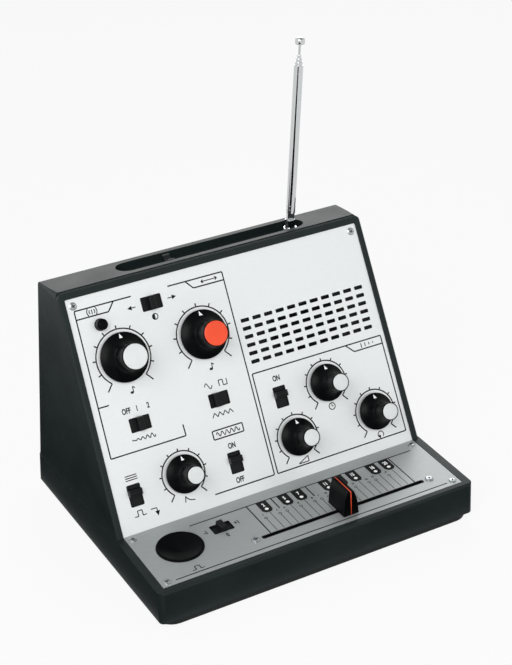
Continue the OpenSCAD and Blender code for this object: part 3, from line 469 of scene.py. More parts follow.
def polished_plastic(name, colour, rough, gloss=0.5):
    """Injection-moulded plastic from a polished tool: glossy, with faint flow marks and wipe marks."""
    material, tree, shader, own = blank(name)
    flow = noise(tree, own, 9)
    fine = noise(tree, own, 2.5)
    tinted(tree, shader, colour, ramp(tree, flow, [(0.3, 0.95), (0.7, 1.04)]))
    roughened(tree, shader, fine, (0.3, rough - 0.02), (0.7, rough + 0.03))
    relief(tree, shader, flow, 0.01, 0.15)
    shader.inputs["IOR"].default_value = 1.49
    shader.inputs["Specular IOR Level"].default_value = gloss
    return material


def brushed_aluminium(name, colour, rough, metallic, slope, depth):
    """Anodised aluminium sheet brushed across its width; its cut edges in slots and holes take painted
    shade, black.

    Slope is that of its face, in degrees, and depth says how strong the strokes are.
    """
    material, tree, shader, own = blank(name)
    # Strokes run along X; real ones are finer, so they are drawn as wide as they need to show
    stretch = add(tree, "ShaderNodeMapping", {"Vector": own, "Scale": (0.03, 1, 1)})
    strokes = noise(tree, stretch.outputs["Vector"], 0.14, 3.0, 0.65)
    cloud = noise(tree, own, 45)
    turn = math.radians(slope)
    outward = (0, -math.sin(turn), math.cos(turn))
    facing = {0: add(tree, "ShaderNodeNewGeometry").outputs["True Normal"], 1: outward}
    level = add(tree, "ShaderNodeVectorMath", facing, operation="DOT_PRODUCT").outputs["Value"]
    # Painted shade: faces that do not face out, the cut edges in slots and holes, are black and not metallic
    face = sum_of(tree, "GREATER_THAN", level, 0.7)
    tone = ramp(tree, strokes, [(0.25, 1 - 0.22 * depth), (0.75, 1 + 0.1 * depth)])
    tinted(tree, shader, colour, sum_of(tree, "MULTIPLY", tone, face))
    roughened(tree, shader, cloud, (0.3, rough - 0.03), (0.7, rough + 0.04))
    relief(tree, shader, strokes, 0.012, depth)
    tree.links.new(sum_of(tree, "MULTIPLY", face, metallic), shader.inputs["Metallic"])
    return material


def plated_metal(name, colour, rough):
    """Steel or brass with a plated skin: mirror-like, with very fine polishing haze."""
    material, tree, shader, own = blank(name)
    haze = noise(tree, own, 1.5, 3.0)
    tinted(tree, shader, colour, ramp(tree, haze, [(0.3, 0.95), (0.7, 1.0)]))
    roughened(tree, shader, haze, (0.3, rough - 0.03), (0.7, rough + 0.05))
    shader.inputs["Metallic"].default_value = 1.0
    return material


def screen_ink(name, colour):
    """Screen-printing ink: a thin satin film with slightly uneven cover."""
    material, tree, shader, own = blank(name)
    cover = noise(tree, own, 0.6, 3.0)
    tinted(tree, shader, colour, ramp(tree, cover, [(0.3, 0.88), (0.7, 1.12)]))
    shader.inputs["Roughness"].default_value = 0.5
    shader.inputs["Specular IOR Level"].default_value = 0.2
    return material


def finishes():
    """The materials, made once and shared."""
    made = bpy.data.materials
    if "spark_grained_abs_charcoal" not in made:
        c = colours()
        spark_grained_abs("spark_grained_abs_charcoal", c.case, 0.42)
        spark_grained_abs("spark_grained_abs_black", c.base, 0.52)
        spark_grained_abs("switch_nylon_black", "#101213", 0.38, grain=0.2, height=0.012)
        spark_grained_abs("moulded_rubber_black", "#141414", 0.75, grain=0.5)
        spark_grained_abs("screw_recess_shadow", "#0B0C0C", 0.6, grain=0.2, gloss=0.1)
        spark_grained_abs("pressed_paper_cone", "#17191A", 0.85, grain=0.6, height=0.06)
        polished_plastic("polished_abs_black", c.gloss, 0.32, gloss=0.06)
        polished_plastic("satin_abs_white", c.white, 0.34)
        polished_plastic("satin_abs_orange", c.orange, 0.36)
        polished_plastic("black_lacquered_steel", "#0B0C0C", 0.5, gloss=0.1)
        polished_plastic("glass_fibre_board_green", "#1E5B36", 0.35)
        polished_plastic("wrapped_cell_grey", "#70777A", 0.3)
        brushed_aluminium("anodised_aluminium_silver", c.panel, 0.42, metallic=0.55, slope=64.6, depth=0.2)
        brushed_aluminium("brushed_aluminium_grey", c.deck, 0.44, metallic=0.45, slope=2.7, depth=0.8)
        plated_metal("chrome_plated_brass", c.chrome, 0.07)
        plated_metal("nickel_plated_steel", c.steel, 0.24)
        screen_ink("screen_ink_black", c.ink)
        screen_ink("screen_ink_white", "#EEF0F0")
        screen_ink("screen_ink_orange", "#E8502A")
    return made


# ---- Shared shapes ----


def finish_nodes(material, *nodes):
    """Gives CAD nodes a material in their own slots."""
    for node in nodes:
        mesh = frame["nodes"][node].data
        mesh.materials.clear()
        mesh.materials.append(finishes()[material])


def soften_nodes(material, slot, width, nodes):
    """Softens the edges of CAD nodes, each on the body it belongs to."""
    bodies = frame["record"]["behaviour"]["bodies"]
    for node in nodes:
        body = next(name for name, members in bodies.items() if node in members)
        dress(softened(node, width), body, material, slot, node)


def pan_head(radius, height):
    """A pan-head screw's head with its cross recess, its seat on z = 0."""
    neck = radius * 0.5
    head = turned(
        "screw_head",
        [
            (neck, -1), (neck, 0), (radius, 0), (radius, height * 0.3),
            (radius * 0.97, height * 0.5), (radius * 0.86, height * 0.78),
            (radius * 0.66, height * 0.95), (radius * 0.4, height),
        ],
        40,
    )
    head.data.materials.append(finishes()["nickel_plated_steel"])
    wings = []
    for turn in (0, 90):
        wing = added("wing", bpy.ops.mesh.primitive_cube_add, size=1, location=(0, 0, height))
        wing.data.materials.append(finishes()["screw_recess_shadow"])
        wing.scale = (radius * 1.2, radius * 0.27, height * 2.2)
        wing.rotation_euler.z = math.radians(turn)
        activate(wing)
        bpy.ops.object.transform_apply(location=True, rotation=True, scale=True)
        edit(wing)
        bpy.ops.mesh.select_all(action="DESELECT")
        finish_edit()
        # The wing tapers towards its foot, as the recess of such a head does
        for vertex in wing.data.vertices:
            vertex.select = vertex.co.z < height
        edit(wing)
        bpy.ops.transform.resize(value=(0.6, 0.6, 1), center_override=(0, 0, height))
        finish_edit()
        wings.append(wing)
    cut = {"operation": "DIFFERENCE", "solver": "EXACT", "material_mode": "TRANSFER"}
    for wing in wings:
        modify(head, "BOOLEAN", object=wing, **cut)
        bpy.data.objects.remove(wing)
    smooth(head, 25)
    return head


def screw_set(name, head, places, node):
    """Copies of a screw head at their places, each turned as its driver left it."""
    heads = []
    for index, place in enumerate(places):
        twin = copy_piece(head, f"{name}_{index}")
        seat(twin, place @ Matrix.Rotation(math.radians(23 + 41 * index), 4, "Z"))
        heads.append(twin)
    bpy.data.objects.remove(head)
    dress(join(heads, name), "case", None, "steel", node)


# ---- Printing ----


def arc(radius, start, end, steps=24):
    """Points along an arc; degrees run anticlockwise from the right."""
    turns = [math.radians(start + (end - start) * k / steps) for k in range(steps + 1)]
    return [(radius * math.cos(t), radius * math.sin(t)) for t in turns]


def wave(length, height, turns, swell=0.0):
    """Points along a sine wave whose height may grow to the right."""
    steps = int(turns * 14)
    made = []
    for k in range(steps + 1):
        t = k / steps
        rise = height * (1 - swell * (1 - t))
        made.append((length * (t - 0.5), rise * math.sin(2 * math.pi * turns * t)))
    return made


def moved(paths, u, v, size=1.0):
    return [[(u + size * x, v + size * y) for x, y in path] for path in paths]


def eased(path, radius=0.3, steps=3):
    """Rounds the corners of a path of points."""
    closed = path[0] == path[-1]
    corners = [Vector(p) for p in (path[:-1] if closed else path)]
    made = []
    for k, corner in enumerate(corners):
        if not closed and k in (0, len(corners) - 1):
            made.append(corner)
            continue
        back = corners[k - 1] - corner
        ahead = corners[(k + 1) % len(corners)] - corner
        reach = min(radius, back.length / 2, ahead.length / 2)
        first = corner + back.normalized() * reach
        last = corner + ahead.normalized() * reach
        for i in range(steps + 1):
            t = i / steps
            made.append((1 - t) ** 2 * first + 2 * t * (1 - t) * corner + t * t * last)
    points = [(p.x, p.y) for p in made]
    if closed:
        points.append(points[0])
    return points


def curve_piece(name, paths, flat, **settings):
    """A curve object along paths of points, made a mesh. A path that ends where it starts is closed."""
    curve = bpy.data.curves.new(name, "CURVE")
    curve.dimensions = "2D" if flat else "3D"
    for key, value in settings.items():
        setattr(curve, key, value)
    for path in paths:
        loop = path[0] == path[-1]
        points = path[:-1] if loop else path
        spline = curve.splines.new("POLY")
        spline.points.add(len(points) - 1)
        for point, (u, v) in zip(spline.points, points):
            point.co = (u, v, 0, 1)
        spline.use_cyclic_u = loop or flat
    piece = bpy.data.objects.new(name, curve)
    bpy.context.scene.collection.objects.link(piece)
    activate(piece)
    bpy.ops.object.convert(target="MESH")
    return bpy.context.object


def printed_lines(name, place, paths, width):
    """Lines of ink along paths, as a thin film that lies on a face."""
    film = print_sizes().film
    piece = curve_piece(
        name, paths, False, bevel_depth=width / 2, bevel_resolution=0, use_fill_caps=True, twist_mode="Z_UP"
    )
    seat(piece, place @ Matrix.Diagonal((1, 1, 2 * film / width, 1)))
    return piece


def printed_shapes(name, place, outlines, lift=0.0):
    """Filled shapes of ink, as a thin film; an outline inside another one is a hole in it."""
    film = print_sizes().film
    piece = curve_piece(name, outlines, True, fill_mode="BOTH", extrude=film / 2)
    seat(piece, place @ Matrix.Translation((0, 0, film / 2 + lift)))
    return piece


def numerals(name, place, rows, height, lift=0.0):
    """Printed numerals and plain switch words; a row is the words, u and v."""
    film = print_sizes().film
    # Blender's own font stands 0.73 of its size high; the print is narrower and a little bolder
    font_rise, narrowed, bolder = 0.73, 0.68, 0.05
    marks = []
    for index, (words, u, v) in enumerate(rows):
        mark = added(f"{name}_{index}", bpy.ops.object.text_add)
        mark.data.body = words
        mark.data.size = height / font_rise
        mark.data.align_x = "CENTER"
        mark.data.align_y = "CENTER"
        mark.data.extrude = film / 2
        mark.data.offset = bolder * height
        activate(mark)
        bpy.ops.object.convert(target="MESH")
        mark = bpy.context.object
        at = Matrix.Translation((u, v, film / 2 + lift))
        seat(mark, place @ at @ Matrix.Diagonal((narrowed, 1, 1, 1)))
        marks.append(mark)
    return join(marks, name)


def dial_scale(u, v, radius):
    """A dial's printed scale: an arc with hooked ends and nine marks."""
    sweep = dial_sizes().sweep
    tick = 0.13 * radius
    hook = 0.33 * radius
    first = 90 + sweep
    start, finish = arc(radius + hook, first, first - 2 * sweep, 1)
    whole = arc(radius, first, first - 2 * sweep, 60)
    marks = [[whole[0], start], [whole[-1], finish]]
    for k in range(1, 10):
        angle = math.radians(first - k * sweep / 5)
        x, y = math.cos(angle), math.sin(angle)
        marks.append([(radius * x, radius * y), ((radius + tick) * x, (radius + tick) * y)])
    return moved([whole] + marks, u, v)


SIGNS = {
    "note": [[(0.75, -0.9), (0.75, 1.5), (1.7, 0.7)]],
    "fall": [[(-2.2, -1.2), (-1.7, 1.2), (-1.1, 0.2), (-0.4, -0.4), (0.6, -0.85), (2.2, -1.2)]],
    "wedge": [[(-2.4, -1), (2.4, -1), (2.4, 1.3), (-2.4, -1)]],
    "pulse": [[(-2.6, -1.1), (-1, -1.1), (-1, 1.1), (1, 1.1), (1, -1.1), (2.6, -1.1)]],
    "drone": [[(-2.6, y), (2.6, y)] for y in (0.9, 0, -0.9)],
    "sine": [wave(3.4, 1.3, 1)],
    "square": [[(-1.8, -1.2), (-1.8, 1.2), (0, 1.2), (0, -1.2), (1.8, -1.2), (1.8, 1.2)]],
    "echo": [[(x, -h), (x, h)] for x, h in ((-3.6, 1.3), (-1.2, 1), (1.2, 0.7), (3.6, 0.4))],
    "both": [
        [(-4.4, 0), (4.4, 0)],
        [(-3.4, 0.9), (-4.5, 0), (-3.4, -0.9)],
        [(3.4, 0.9), (4.5, 0), (3.4, -0.9)],
    ],
}


# ---- Operators ----


class CaseMouldings(bpy.types.Operator):
    """Soften and finish the tray, the housing, the frame and the bottom cover"""

    bl_idname = "theremin.case_mouldings"
    bl_label = "Case mouldings"

    def execute(self, context):
        large = ["base_tray", "front_frame", "upper_housing"]
        small = ["base_pan", "battery_door", "antenna_clip"]
        soften_nodes("spark_grained_abs_charcoal", "case_plastic", 0.45, large)
        soften_nodes("spark_grained_abs_black", "dark_plastic", 0.3, small)
        finish_nodes("moulded_rubber_black", "rubber_feet")
        return {"FINISHED"}


class MetalPanels(bpy.types.Operator):
    """Finish the control panel and the deck plate, and drive in their screws"""

    bl_idname = "theremin.metal_panels"
    bl_label = "Metal panels"

    def execute(self, context):
        finish_nodes("anodised_aluminium_silver", "main_panel")
        finish_nodes("brushed_aluminium_grey", "apron_panel")
        places = [panel_place(u, v) for u, v in PANEL_SCREWS] + [deck_place(u, v) for u, v in DECK_SCREWS]
        screw_set("panel_screw_heads", pan_head(radius=2.05, height=0.7), places, "panel_screws")
        places = [deck_place(u, v) for u, v in SLOT_SCREWS]
        screw_set("slot_screw_heads", pan_head(radius=2.35, height=0.8), places, "slot_screws")
        return {"FINISHED"}


class PanelPrinting(bpy.types.Operator):
    """Print the control panel: frames, dial scales, arrows and plain signs"""

    bl_idname = "theremin.panel_printing"
    bl_label = "Panel printing"

    def execute(self, context):
        p = print_sizes()
        face = panel_place()
        d = dial_sizes()
        frames = [
            # Left group, with its corner tab
            [(-50, 115.5), (-81, 115.5), (-82.2, 39.5), (-40.2, 39.5), (-40.4, 45.5)],
            [(-82, 65.7), (-76, 65.7)],
            [(-81, 111), (-63.5, 111), (-59.8, 115.4)],
            # Middle group
            [(-29.5, 115.5), (1.8, 115.5), (2, 5.8), (-33, 5.8)],
            [(-19.4, 115.4), (-15.8, 111.2), (1.7, 111.2)],
            # Right group
            [(4, 59.8), (83, 59.8), (84, 6), (4, 5.8), (4, 59.8)],
            [(61, 59.7), (65.3, 55.4), (83, 55.4)],
            # Box round the plain wave
            [(-25.9, 32.8), (-8.5, 32.8), (-8.5, 37.3), (-25.9, 37.3), (-25.9, 32.8)],
        ]
        lines = [eased(path, 0.6) for path in frames]
        for group, radius in ((BIG_DIALS, d.big_scale), (SMALL_DIALS, d.small_scale)):
            for u, v in group.values():
                lines += dial_scale(u, v, radius)
        arrows = [[(-49, 109.7), (-51.5, 109.7)], [(-31, 109.7), (-28.4, 109.7)]]
        arrows.append(eased([(-68.6, 9.1), (-65.4, 9.1), (-65.4, 7)], 0.5))
        heads = [
            [(-53.6, 109.7), (-51.2, 110.9), (-51.2, 108.5)],
            [(-26.2, 109.7), (-28.6, 110.9), (-28.6, 108.5)],
            [(-65.4, 4.9), (-64.1, 7.5), (-66.7, 7.5)],
        ]
        fine, solid = self.signs()
        words = [
            ("OFF", -68, 60.2), ("1", -62.1, 60.2), ("2", -55.9, 60.2), ("ON", -17.2, 27.4),
            ("OFF", -17.4, 9.1), ("ON", 16.7, 54),
        ]
        parts = [
            printed_lines("frame_lines", face, lines, p.line),
            printed_lines("arrow_lines", face, arrows + fine, p.thin),
            printed_shapes("arrow_heads", face, heads + solid),
            numerals("switch_words", face, words, p.letter),
        ]
        dress(join(parts, "panel_printing"), "case", "screen_ink_black", "dark_plastic")
        # Black film behind the slots: painted shade
        dress(self.painted_slot_shade(), "case", "screen_ink_black", "dark_plastic")
        return {"FINISHED"}

    def painted_slot_shade(self):
        """Painted shade: a matt black film on the sheet behind the panel's slots, so they look dark, open
        where the speaker stands.
        """
        (left, low), (right, high) = SLOT_GRILLE
        sheet = [(left, low), (right, low), (right, high), (left, high)]
        speaker = moved([arc(21.6, 0, 352.5, 47)], *SPEAKER_AT)[0]
        return printed_shapes("painted_slot_shade", panel_place(), [sheet, speaker], lift=-0.99)

    def signs(self):
        """Plain signs where a dial or a switch is marked: thin lines, and filled shapes."""
        fine = []
        for sign, places in SIGN_PLACES.items():
            size = 1.0 if sign in ("both", "echo") else 1.25
            paths = [eased(path, 0.2) if len(path) < 12 else path for path in SIGNS[sign]]
            for u, v in places:
                fine += moved(paths, u, v, size)
        # Clock, loop, rod with its rays, swelling wave, triangle wave, plain wave and the half moon's ring
        fine += moved([arc(1.5, 0, 360), [(0, 0.95), (0, 0), (0.75, 0)]], *CLOCK_AT, 1.2)
        fine += moved([arc(1.4, -50, 220)], *LOOP_AT, 1.2)
        rays = [arc(r, a - 42, a + 42, 8) for r in (1.5, 2.7) for a in (0, 180)]
        fine += moved([[(0, -1.4), (0, 1.1)]] + rays, *RAYS_AT)
        fine += moved([wave(13, 1.2, 5, swell=0.85)], -62.4, 45)
        peaks = [(-6 + 1.5 * k, 1.1 if k % 2 else -1.1) for k in range(9)]
        fine += moved([eased(peaks, 0.2)], -17.5, 45)
        fine += moved([wave(13.5, 1.1, 5)], -17.2, 35.05)
        fine += moved([arc(1.5, 0, 360)], *HALF_MOON_AT)
        # Half moon, the notes' heads and the loop's tip
        solid = moved([arc(1.45, 90, 270, 12)], *HALF_MOON_AT)
        for u, v in SIGN_PLACES["note"]:
            solid.append([(u + 0.1 + 0.95 * x, v - 1.1 + 0.7 * y) for x, y in arc(1, 0, 345, 14)])
        solid += moved([[(-1.9, -0.2), (-0.4, -1.9), (-0.2, -0.2)]], *LOOP_AT, 1.2)
        return fine, solid


class DeckPrinting(bpy.types.Operator):
    """Print the deck: border lines, the numbered note scale and plain signs"""

    bl_idname = "theremin.deck_printing"
    bl_label = "Deck printing"

    def execute(self, context):
        p = print_sizes()
        face = deck_place()
        lines = [
            [(-78.5, 7.1), (79.3, 7.1)],
            [(-53.6, 42.4), (79.6, 42.4)],
            [(-21, 42.4), (-21, 16.6)],
            [(65.3, 42.4), (65.3, 16.6)],
        ]
        lines += [[(u, 42.4), (u, 32.6)] for u in (-6.7, 14, 42.7)]
        hairs, keys, dots, high, low = [], [], [], [], []
        for index, kind in enumerate(NOTES):
            u = NOTE_FIRST + NOTE_PITCH * index
            number = str(index + 1)
            if kind == "b":
                corners = [(-3, 42.4), (3, 42.4), (3, 34.4), (1.6, 32.6), (-1.6, 32.6), (-3, 34.4)]
                keys.append([(u + x, v) for x, v in corners])
                dots.append([(u + x, 35.3 + y) for x, y in arc(1, 0, 345, 16)])
                hairs.append([(u, 34.4), (u, 16.8)])
                high.append((number, u, 38.9))
            else:
                hairs.append([(u, 28), (u, 16.8)])
                hairs.append(moved([arc(0.72, 0, 360, 14)], u, 28.7)[0])
                low.append((number, u, 31.7))
        signs = moved([eased(path, 0.2) for path in SIGNS["pulse"]], -65, 10.5, 1.25)
        # Black ink edge round the slider's slot: painted shade that widens the slot's dark line
        signs.append(eased([(-26.5, 14), (69.7, 14), (69.7, 16.2), (-26.5, 16.2), (-26.5, 14)], 0.9))
        octave = [("-1", -49, 33), ("+1", -31.4, 33), ("0", -40.1, 26)]
        parts = [
            printed_lines("deck_lines", face, lines, p.line),
            printed_lines("note_hairs", face, hairs, 0.34),
            printed_lines("deck_signs", face, signs, p.thin),
            printed_shapes("black_notes", face, keys),
            numerals("low_numbers", face, low, 1.7),
            numerals("octave_numbers", face, octave, p.letter),
        ]
        dress(join(parts, "deck_printing"), "case", "screen_ink_black", "dark_plastic")
        white = [
            printed_shapes("note_dots", face, dots, p.film),
            numerals("high_numbers", face, high, 2.6, p.film),
        ]
        dress(join(white, "deck_printing_white"), "case", "screen_ink_white", "white_cap")
        return {"FINISHED"}


class InnerPieces(bpy.types.Operator):
    """Finish the boards, the speaker, the pots, the switch cans, the sockets and the cells"""

    bl_idname = "theremin.inner_pieces"
    bl_label = "Inner pieces"

    def execute(self, context):
        shafts = ["shaft_" + name for name in DIALS]
        finish_nodes("nickel_plated_steel", "pot_housings", "pot_nuts", "switch_frames", *shafts)
        finish_nodes("nickel_plated_steel", "battery_contacts", "case_screws", "antenna_bush")
        finish_nodes("spark_grained_abs_black", "slide_track", "slide_carriage", "rear_sockets")
        finish_nodes("glass_fibre_board_green", "circuit_boards")
        finish_nodes("black_lacquered_steel", "speaker_frame")
        finish_nodes("pressed_paper_cone", "speaker_cone")
        finish_nodes("wrapped_cell_grey", "battery_cells")
        soften_nodes("spark_grained_abs_black", "dark_plastic", 0.12, ["volume_knob"])
        return {"FINISHED"}


class Dials(bpy.types.Operator):
    """Turn the dials, their caps and their pointers"""

    bl_idname = "theremin.dials"
    bl_label = "Dials"

    def execute(self, context):
        d = dial_sizes()
        for group, skirt, grip, height, reach in (
            (BIG_DIALS, d.big_skirt, d.big_grip, d.big_height, (9.9, 12.2)),
            (SMALL_DIALS, d.small_skirt, d.small_grip, d.small_height, (7.3, 9.4)),
        ):
            knob = turned("knob", self.knob_profile(skirt, grip, height))
            cap = turned("cap", self.cap_profile(grip, height))
            pointer = self.pointer(skirt, grip, *reach)
            for name, (u, v) in group.items():
                cap_colour = "orange" if name == "pitch_right" else "white"
                for source, kind, material, slot in (
                    (knob, "knob", "polished_abs_black", "gloss_black"),
                    (cap, "cap", f"satin_abs_{cap_colour}", f"{cap_colour}_cap"),
                    (pointer, "pointer", "screen_ink_white", "white_cap"),
                ):
                    twin = copy_piece(source, f"{kind}_{name}_turned")
                    seat(twin, panel_place(u, v))
                    nodes = [] if kind == "pointer" else [f"{kind}_{name}"]
                    dress(twin, f"dial_{name}", material, slot, *nodes)
            for source in (knob, cap, pointer):
                bpy.data.objects.remove(source)
        return {"FINISHED"}

    def flare(self, skirt, grip, height):
        """Radius of the flare at a height."""
        d = dial_sizes()
        low = d.gap + d.edge
        t = (height - low) / (d.flare_top - low)
        return grip + (skirt - FLARE_INSET - grip) * (1 - t) ** FLARE_POWER

    def knob_profile(self, skirt, grip, height):
        """From the shaft's hole under a dial, round its skirt and up to the cap's seat."""
        d = dial_sizes()
        low = d.gap + d.edge
        # Shaft's hole, the hollow over the nut, the flat underside and the upright edge
        bore, hollow = 3.05, 6.3
        under = [(bore, 13), (bore, 4), (hollow, 4), (hollow, d.gap), (skirt - 0.3, d.gap)]
        edge = [
            (skirt - 0.08, d.gap + 0.1), (skirt, d.gap + 0.3), (skirt, low - 0.35),
            (skirt - 0.1, low - 0.12), (skirt - 0.25, low - 0.02),
        ]
        steps = 20
        rise = [low + (d.flare_top - low) * (k / steps) ** 1.6 for k in range(steps + 1)]
        flare = [(self.flare(skirt, grip, z), z) for z in rise]
        top = [
            (grip, height - 0.45), (grip - 0.05, height - 0.18), (grip - 0.15, height - 0.04),
            (grip - 0.28, height), (grip - 0.5, height), (grip - 0.53, height - 0.06),
            (grip - 0.53, height - 1.15),
        ]
        return under + edge + flare + top

    def cap_profile(self, grip, height):
        """A cap's side and its slightly domed top."""
        r = grip - 0.56
        z = height - 1.15
        return [
            (r, z), (r, z + 0.95), (r - 0.06, z + 1.12), (r - 0.2, z + 1.22), (r - 0.5, z + 1.28),
            (r * 0.7, z + 1.36), (r * 0.35, z + 1.39),
        ]

    def pointer(self, skirt, grip, near, far):
        """A white triangle that lies on the flare, its point outwards."""
        circle = {"vertices": 3, "radius": 1, "fill_type": "NGON"}
        piece = added("pointer", bpy.ops.mesh.primitive_circle_add, **circle)
        # The three corners of the primitive are drawn out to the printed triangle
        half = (far - near) * 1.2 / 2.9
        for vertex, (x, y) in zip(piece.data.vertices, ((0, far), (-half, near), (half, near))):
            vertex.co = (x, y, 0)
        modify(piece, "TRIANGULATE")
        modify(piece, "SUBSURF", subdivision_type="SIMPLE", levels=4, render_levels=4)
        d = dial_sizes()
        low = d.gap + d.edge
        for vertex in piece.data.vertices:
            radius = math.hypot(vertex.co.x, vertex.co.y)
            share = max((radius - grip) / (skirt - FLARE_INSET - grip), 0)
            vertex.co.z = low + (d.flare_top - low) * (1 - min(share, 1) ** (1 / FLARE_POWER)) + 0.02
        modify(piece, "SOLIDIFY", thickness=0.05, offset=1.0)
        edit_whole(piece)
        bpy.ops.mesh.normals_make_consistent(inside=False)
        finish_edit()
        smooth(piece)
        return piece


class Levers(bpy.types.Operator):
    """Soften the switch levers, turn the round button and the trigger key, and line the slider"""

    bl_idname = "theremin.levers"
    bl_label = "Levers and keys"

    def execute(self, context):
        names = ["mix", "waveform", "modulation", "drone", "vibrato", "delay", "octave", "power"]
        soften_nodes("switch_nylon_black", "dark_plastic", 0.12, ["lever_" + n for n in names])
        soften_nodes("polished_abs_black", "gloss_black", 0.2, ["slide_fin"])
        self.button()
        self.trigger()
        self.fin_line()
        return {"FINISHED"}

    def button(self):
        piece = turned(
            "round_button_turned",
            [
                (3.9, -4.3), (3.9, -3.2), (2.9, -3.2), (2.9, 3.25), (2.85, 3.42), (2.7, 3.54),
                (2.45, 3.58), (2.1, 3.56), (1.95, 3.42), (1.75, 3.4), (1.6, 3.5), (0.9, 3.56),
            ],
        )
        seat(piece, panel_place(*BUTTON_AT))
        dress(piece, "round_button", "polished_abs_black", "gloss_black", "round_button")

    def trigger(self):
        top, bowl, rim, r = 0.9, 2.6, 1.1, 12.1
        under = [(13.3, -4.4), (13.3, -3.2), (r, -3.2), (r, top - 0.4)]
        lip = [
            (r - 0.1, top - 0.16), (r - 0.35, top - 0.02), (r - 0.6, top),
            (r - rim + 0.2, top - 0.03), (r - rim, top - 0.1),
        ]
        steps = 24
        hollow = []
        for k in range(1, steps):
            t = k / steps
            hollow.append(((r - rim) * (1 - t), top - 0.1 - (bowl - 0.1) * math.sin(math.pi / 2 * t)))
        piece = turned("trigger_dish_turned", under + lip + hollow, 96)
        seat(piece, deck_place(*TRIGGER_AT))
        dress(piece, "trigger_dish", "polished_abs_black", "gloss_black", "trigger_dish")

    def fin_line(self):
        """The painted line that runs up the fin's front edge and back along its ridge."""
        path = eased([(-7.72, 0.6), (-7.12, 14.12), (8.2, 14.12)], 0.8, 6)
        curve = curve_piece("fin_line", [path], False, extrude=0.24)
        modify(curve, "SOLIDIFY", thickness=0.08, offset=0.0)
        turn = Matrix.Rotation(math.radians(90), 4, "Z") @ Matrix.Rotation(math.radians(90), 4, "X")
        seat(curve, deck_place(*FIN_AT) @ turn)
        dress(curve, "slider", "screen_ink_orange", "orange_cap")


class Antenna(bpy.types.Operator):
    """Turn the antenna's tubes and tip, and soften its swivel"""

    bl_idname = "theremin.antenna"
    bl_label = "Antenna"

    def execute(self, context):
        # Radius of the outer tube, the drop to each next tube, and a tube's wall
        tube_r, step, wall = 2.45, 0.45, 0.3
        # Feet and mouths above the pivot: the outer tube's, and what each next tube adds
        foot, stop = 10, 1.4
        top, show = 86.5, 1.8
        soften_nodes("chrome_plated_brass", "chromed", 0.12, ["antenna_swivel", "antenna_tube_1"])
        place = antenna_place()
        for k in (1, 2, 3):
            r = tube_r - k * step
            low = foot + k * stop
            high = top + k * show
            lip = r - step + 0.05
            profile = [
                (r - wall, low), (r, low), (r, high - 0.3), (r - 0.07, high - 0.08),
                (r - 0.2, high), (lip, high), (lip, high - 1.6), (r - wall, high - 1.6),
            ]
            node = f"antenna_tube_{k + 1}"
            piece = turned(node + "_turned", profile, 40, through=True)
            seat(piece, place)
            dress(piece, f"tube_{k + 1}", "chrome_plated_brass", "chromed", node)
        self.tip(place, tube_r - 4 * step, foot + 4 * stop, top + 3 * show + 5.5)
        return {"FINISHED"}

    def tip(self, place, stem, low, high):
        """The thin last rod with its button, whose radius is r and whose height is h."""
        r, h = 2.6, 3.7
        piece = turned(
            "antenna_tip_turned",
            [
                (stem, low), (stem, high), (r - 0.6, high), (r - 0.15, high + 0.15),
                (r, high + 0.5), (r, high + h - 1.3), (r - 0.15, high + h - 0.95),
                (r - 0.5, high + h - 0.5), (r - 0.9, high + h - 0.2), (r - 1.4, high + h - 0.04),
                (r - 2, high + h),
            ],
            40,
        )
        seat(piece, place)
        dress(piece, "tip", "chrome_plated_brass", "chromed", "antenna_tip")


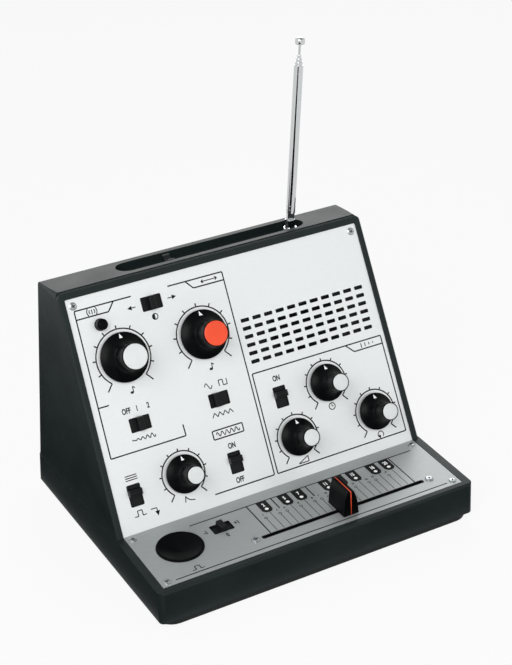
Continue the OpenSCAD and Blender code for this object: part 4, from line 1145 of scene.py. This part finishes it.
class Stage(bpy.types.Operator):
    """Lay the floor, hang the lamps and set the camera"""

    bl_idname = "theremin.stage"
    bl_label = "Stage"

    def execute(self, context):
        scene = context.scene
        self.floor()
        self.cards()
        self.lamps()
        self.surroundings(scene)
        self.camera(scene)
        return {"FINISHED"}

    def floor(self):
        floor = added("floor", bpy.ops.mesh.primitive_plane_add, size=8)
        material, tree, shader, _ = blank("matt_paper_white")
        shader.inputs["Base Color"].default_value = linear("#F4F4F4")
        shader.inputs["Roughness"].default_value = 0.9
        glow = add(tree, "ShaderNodeEmission", {"Color": linear(BACKGROUND), "Strength": 1.02})
        # The rest of the floor's tone is plain paper, which keeps the object's shadow
        mixed = blended(tree, sum_of(tree, "MULTIPLY", self.seen(tree), 0.93), shader, glow)
        tree.links.new(mixed.outputs[0], tree.nodes["Material Output"].inputs["Surface"])
        floor.data.materials.append(material)

    def seen(self, tree):
        """One where the camera, metal or glass looks at the background, and nought for plain light."""
        path = add(tree, "ShaderNodeLightPath")
        looks = path.outputs["Is Camera Ray"]
        for kind in ("Is Glossy Ray", "Is Transmission Ray"):
            looks = sum_of(tree, "MAXIMUM", looks, path.outputs[kind])
        return looks

    def cards(self):
        """Black cards round the object, which only its gloss shows."""
        material, _, shader, _ = blank("black_card_matt")
        shader.inputs["Base Color"].default_value = linear("#060606")
        shader.inputs["Roughness"].default_value = 1.0
        shader.inputs["Specular IOR Level"].default_value = 0.0
        for index, (at, size, turn) in enumerate(CARDS):
            card = added(f"black_card_{index}", bpy.ops.mesh.primitive_plane_add, size=1)
            card.data.materials.append(material)
            spin = Matrix.Rotation(math.radians(turn), 4, "Z")
            card.matrix_world = Matrix.Translation(at) @ spin @ Matrix.Diagonal((*size, 1, 1))
            card.visible_camera = False
            card.visible_diffuse = False
            card.visible_shadow = False

    def lamps(self):
        for name, size, power, spread, place in LAMPS:
            lamp = added(name, bpy.ops.object.light_add, type="AREA", location=place)
            lamp.data.size = size
            lamp.data.energy = power
            lamp.data.spread = math.radians(spread)
            aim = Vector(LAMP_AIM) - Vector(place)
            lamp.rotation_euler = aim.to_track_quat("-Z", "Y").to_euler()

    def surroundings(self, scene):
        world = bpy.data.worlds.new("studio")
        scene.world = world
        world.use_nodes = True
        tree = world.node_tree
        lit = add(tree, "ShaderNodeBackground", {"Color": (0.97, 1.0, 0.99, 1), "Strength": 0.45})
        # The pale walls stand full in the metal, and the ceiling above them is dimmer
        way = add(tree, "ShaderNodeTexCoord").outputs["Generated"]
        up = add(tree, "ShaderNodeVectorMath", {0: way, 1: (0.25, -0.35, 0.9)}, operation="DOT_PRODUCT")
        tone = ramp(tree, up.outputs["Value"], [(0.5, 0.95), (0.7, 0.76), (0.95, 0.3)])
        room = add(tree, "ShaderNodeBackground", {"Color": tone, "Strength": 1.0})
        shown = add(tree, "ShaderNodeBackground", {"Color": linear(BACKGROUND), "Strength": 1.0})
        mirrored = blended(tree, self.seen(tree), lit, room)
        camera = add(tree, "ShaderNodeLightPath").outputs["Is Camera Ray"]
        mixed = blended(tree, camera, mirrored, shown)
        tree.links.new(mixed.outputs[0], tree.nodes["World Output"].inputs["Surface"])
        scene.view_settings.view_transform = "Standard"

    def camera(self, scene):
        camera = added("Camera", bpy.ops.object.camera_add)
        camera.data.sensor_fit = "HORIZONTAL"
        camera.data.sensor_width = 36
        camera.data.lens = CAMERA_LENS
        camera.data.clip_start = 0.01
        turn = (
            Matrix.Rotation(math.radians(-CAMERA_AZIMUTH), 4, "Z")
            @ Matrix.Rotation(math.radians(90 - CAMERA_ELEVATION), 4, "X")
            @ Matrix.Rotation(math.radians(CAMERA_ROLL), 4, "Z")
        )
        camera.matrix_world = Matrix.Translation(CAMERA_AT) @ turn
        scene.camera = camera


class ThereminPanel(bpy.types.Panel):
    """The theremin's steps in the sidebar"""

    bl_label = "Theremin"
    bl_idname = "VIEW3D_PT_theremin"
    bl_space_type = "VIEW_3D"
    bl_region_type = "UI"
    bl_category = "Theremin"

    def draw(self, context):
        for operator in STEPS:
            self.layout.operator(operator.bl_idname)


STEPS = (CaseMouldings, MetalPanels, PanelPrinting, DeckPrinting, InnerPieces, Dials, Levers, Antenna, Stage)
GROUPS = {
    "theremin_case": ThereminCase,
    "theremin_dials": ThereminDials,
    "theremin_print": ThereminPrint,
    "theremin_colours": ThereminColours,
}


def register():
    for group in GROUPS.values():
        bpy.utils.register_class(group)
    for name, group in GROUPS.items():
        setattr(bpy.types.Scene, name, PointerProperty(type=group))
    for operator in STEPS:
        bpy.utils.register_class(operator)
    bpy.utils.register_class(ThereminPanel)


def unregister():
    bpy.utils.unregister_class(ThereminPanel)
    for operator in reversed(STEPS):
        bpy.utils.unregister_class(operator)
    for name in GROUPS:
        delattr(bpy.types.Scene, name)
    for group in reversed(list(GROUPS.values())):
        bpy.utils.unregister_class(group)


def main():
    register()
    for operator in STEPS:
        group, action = operator.bl_idname.split(".")
        getattr(getattr(bpy.ops, group), action)()


if __name__ == "__main__":
    main()
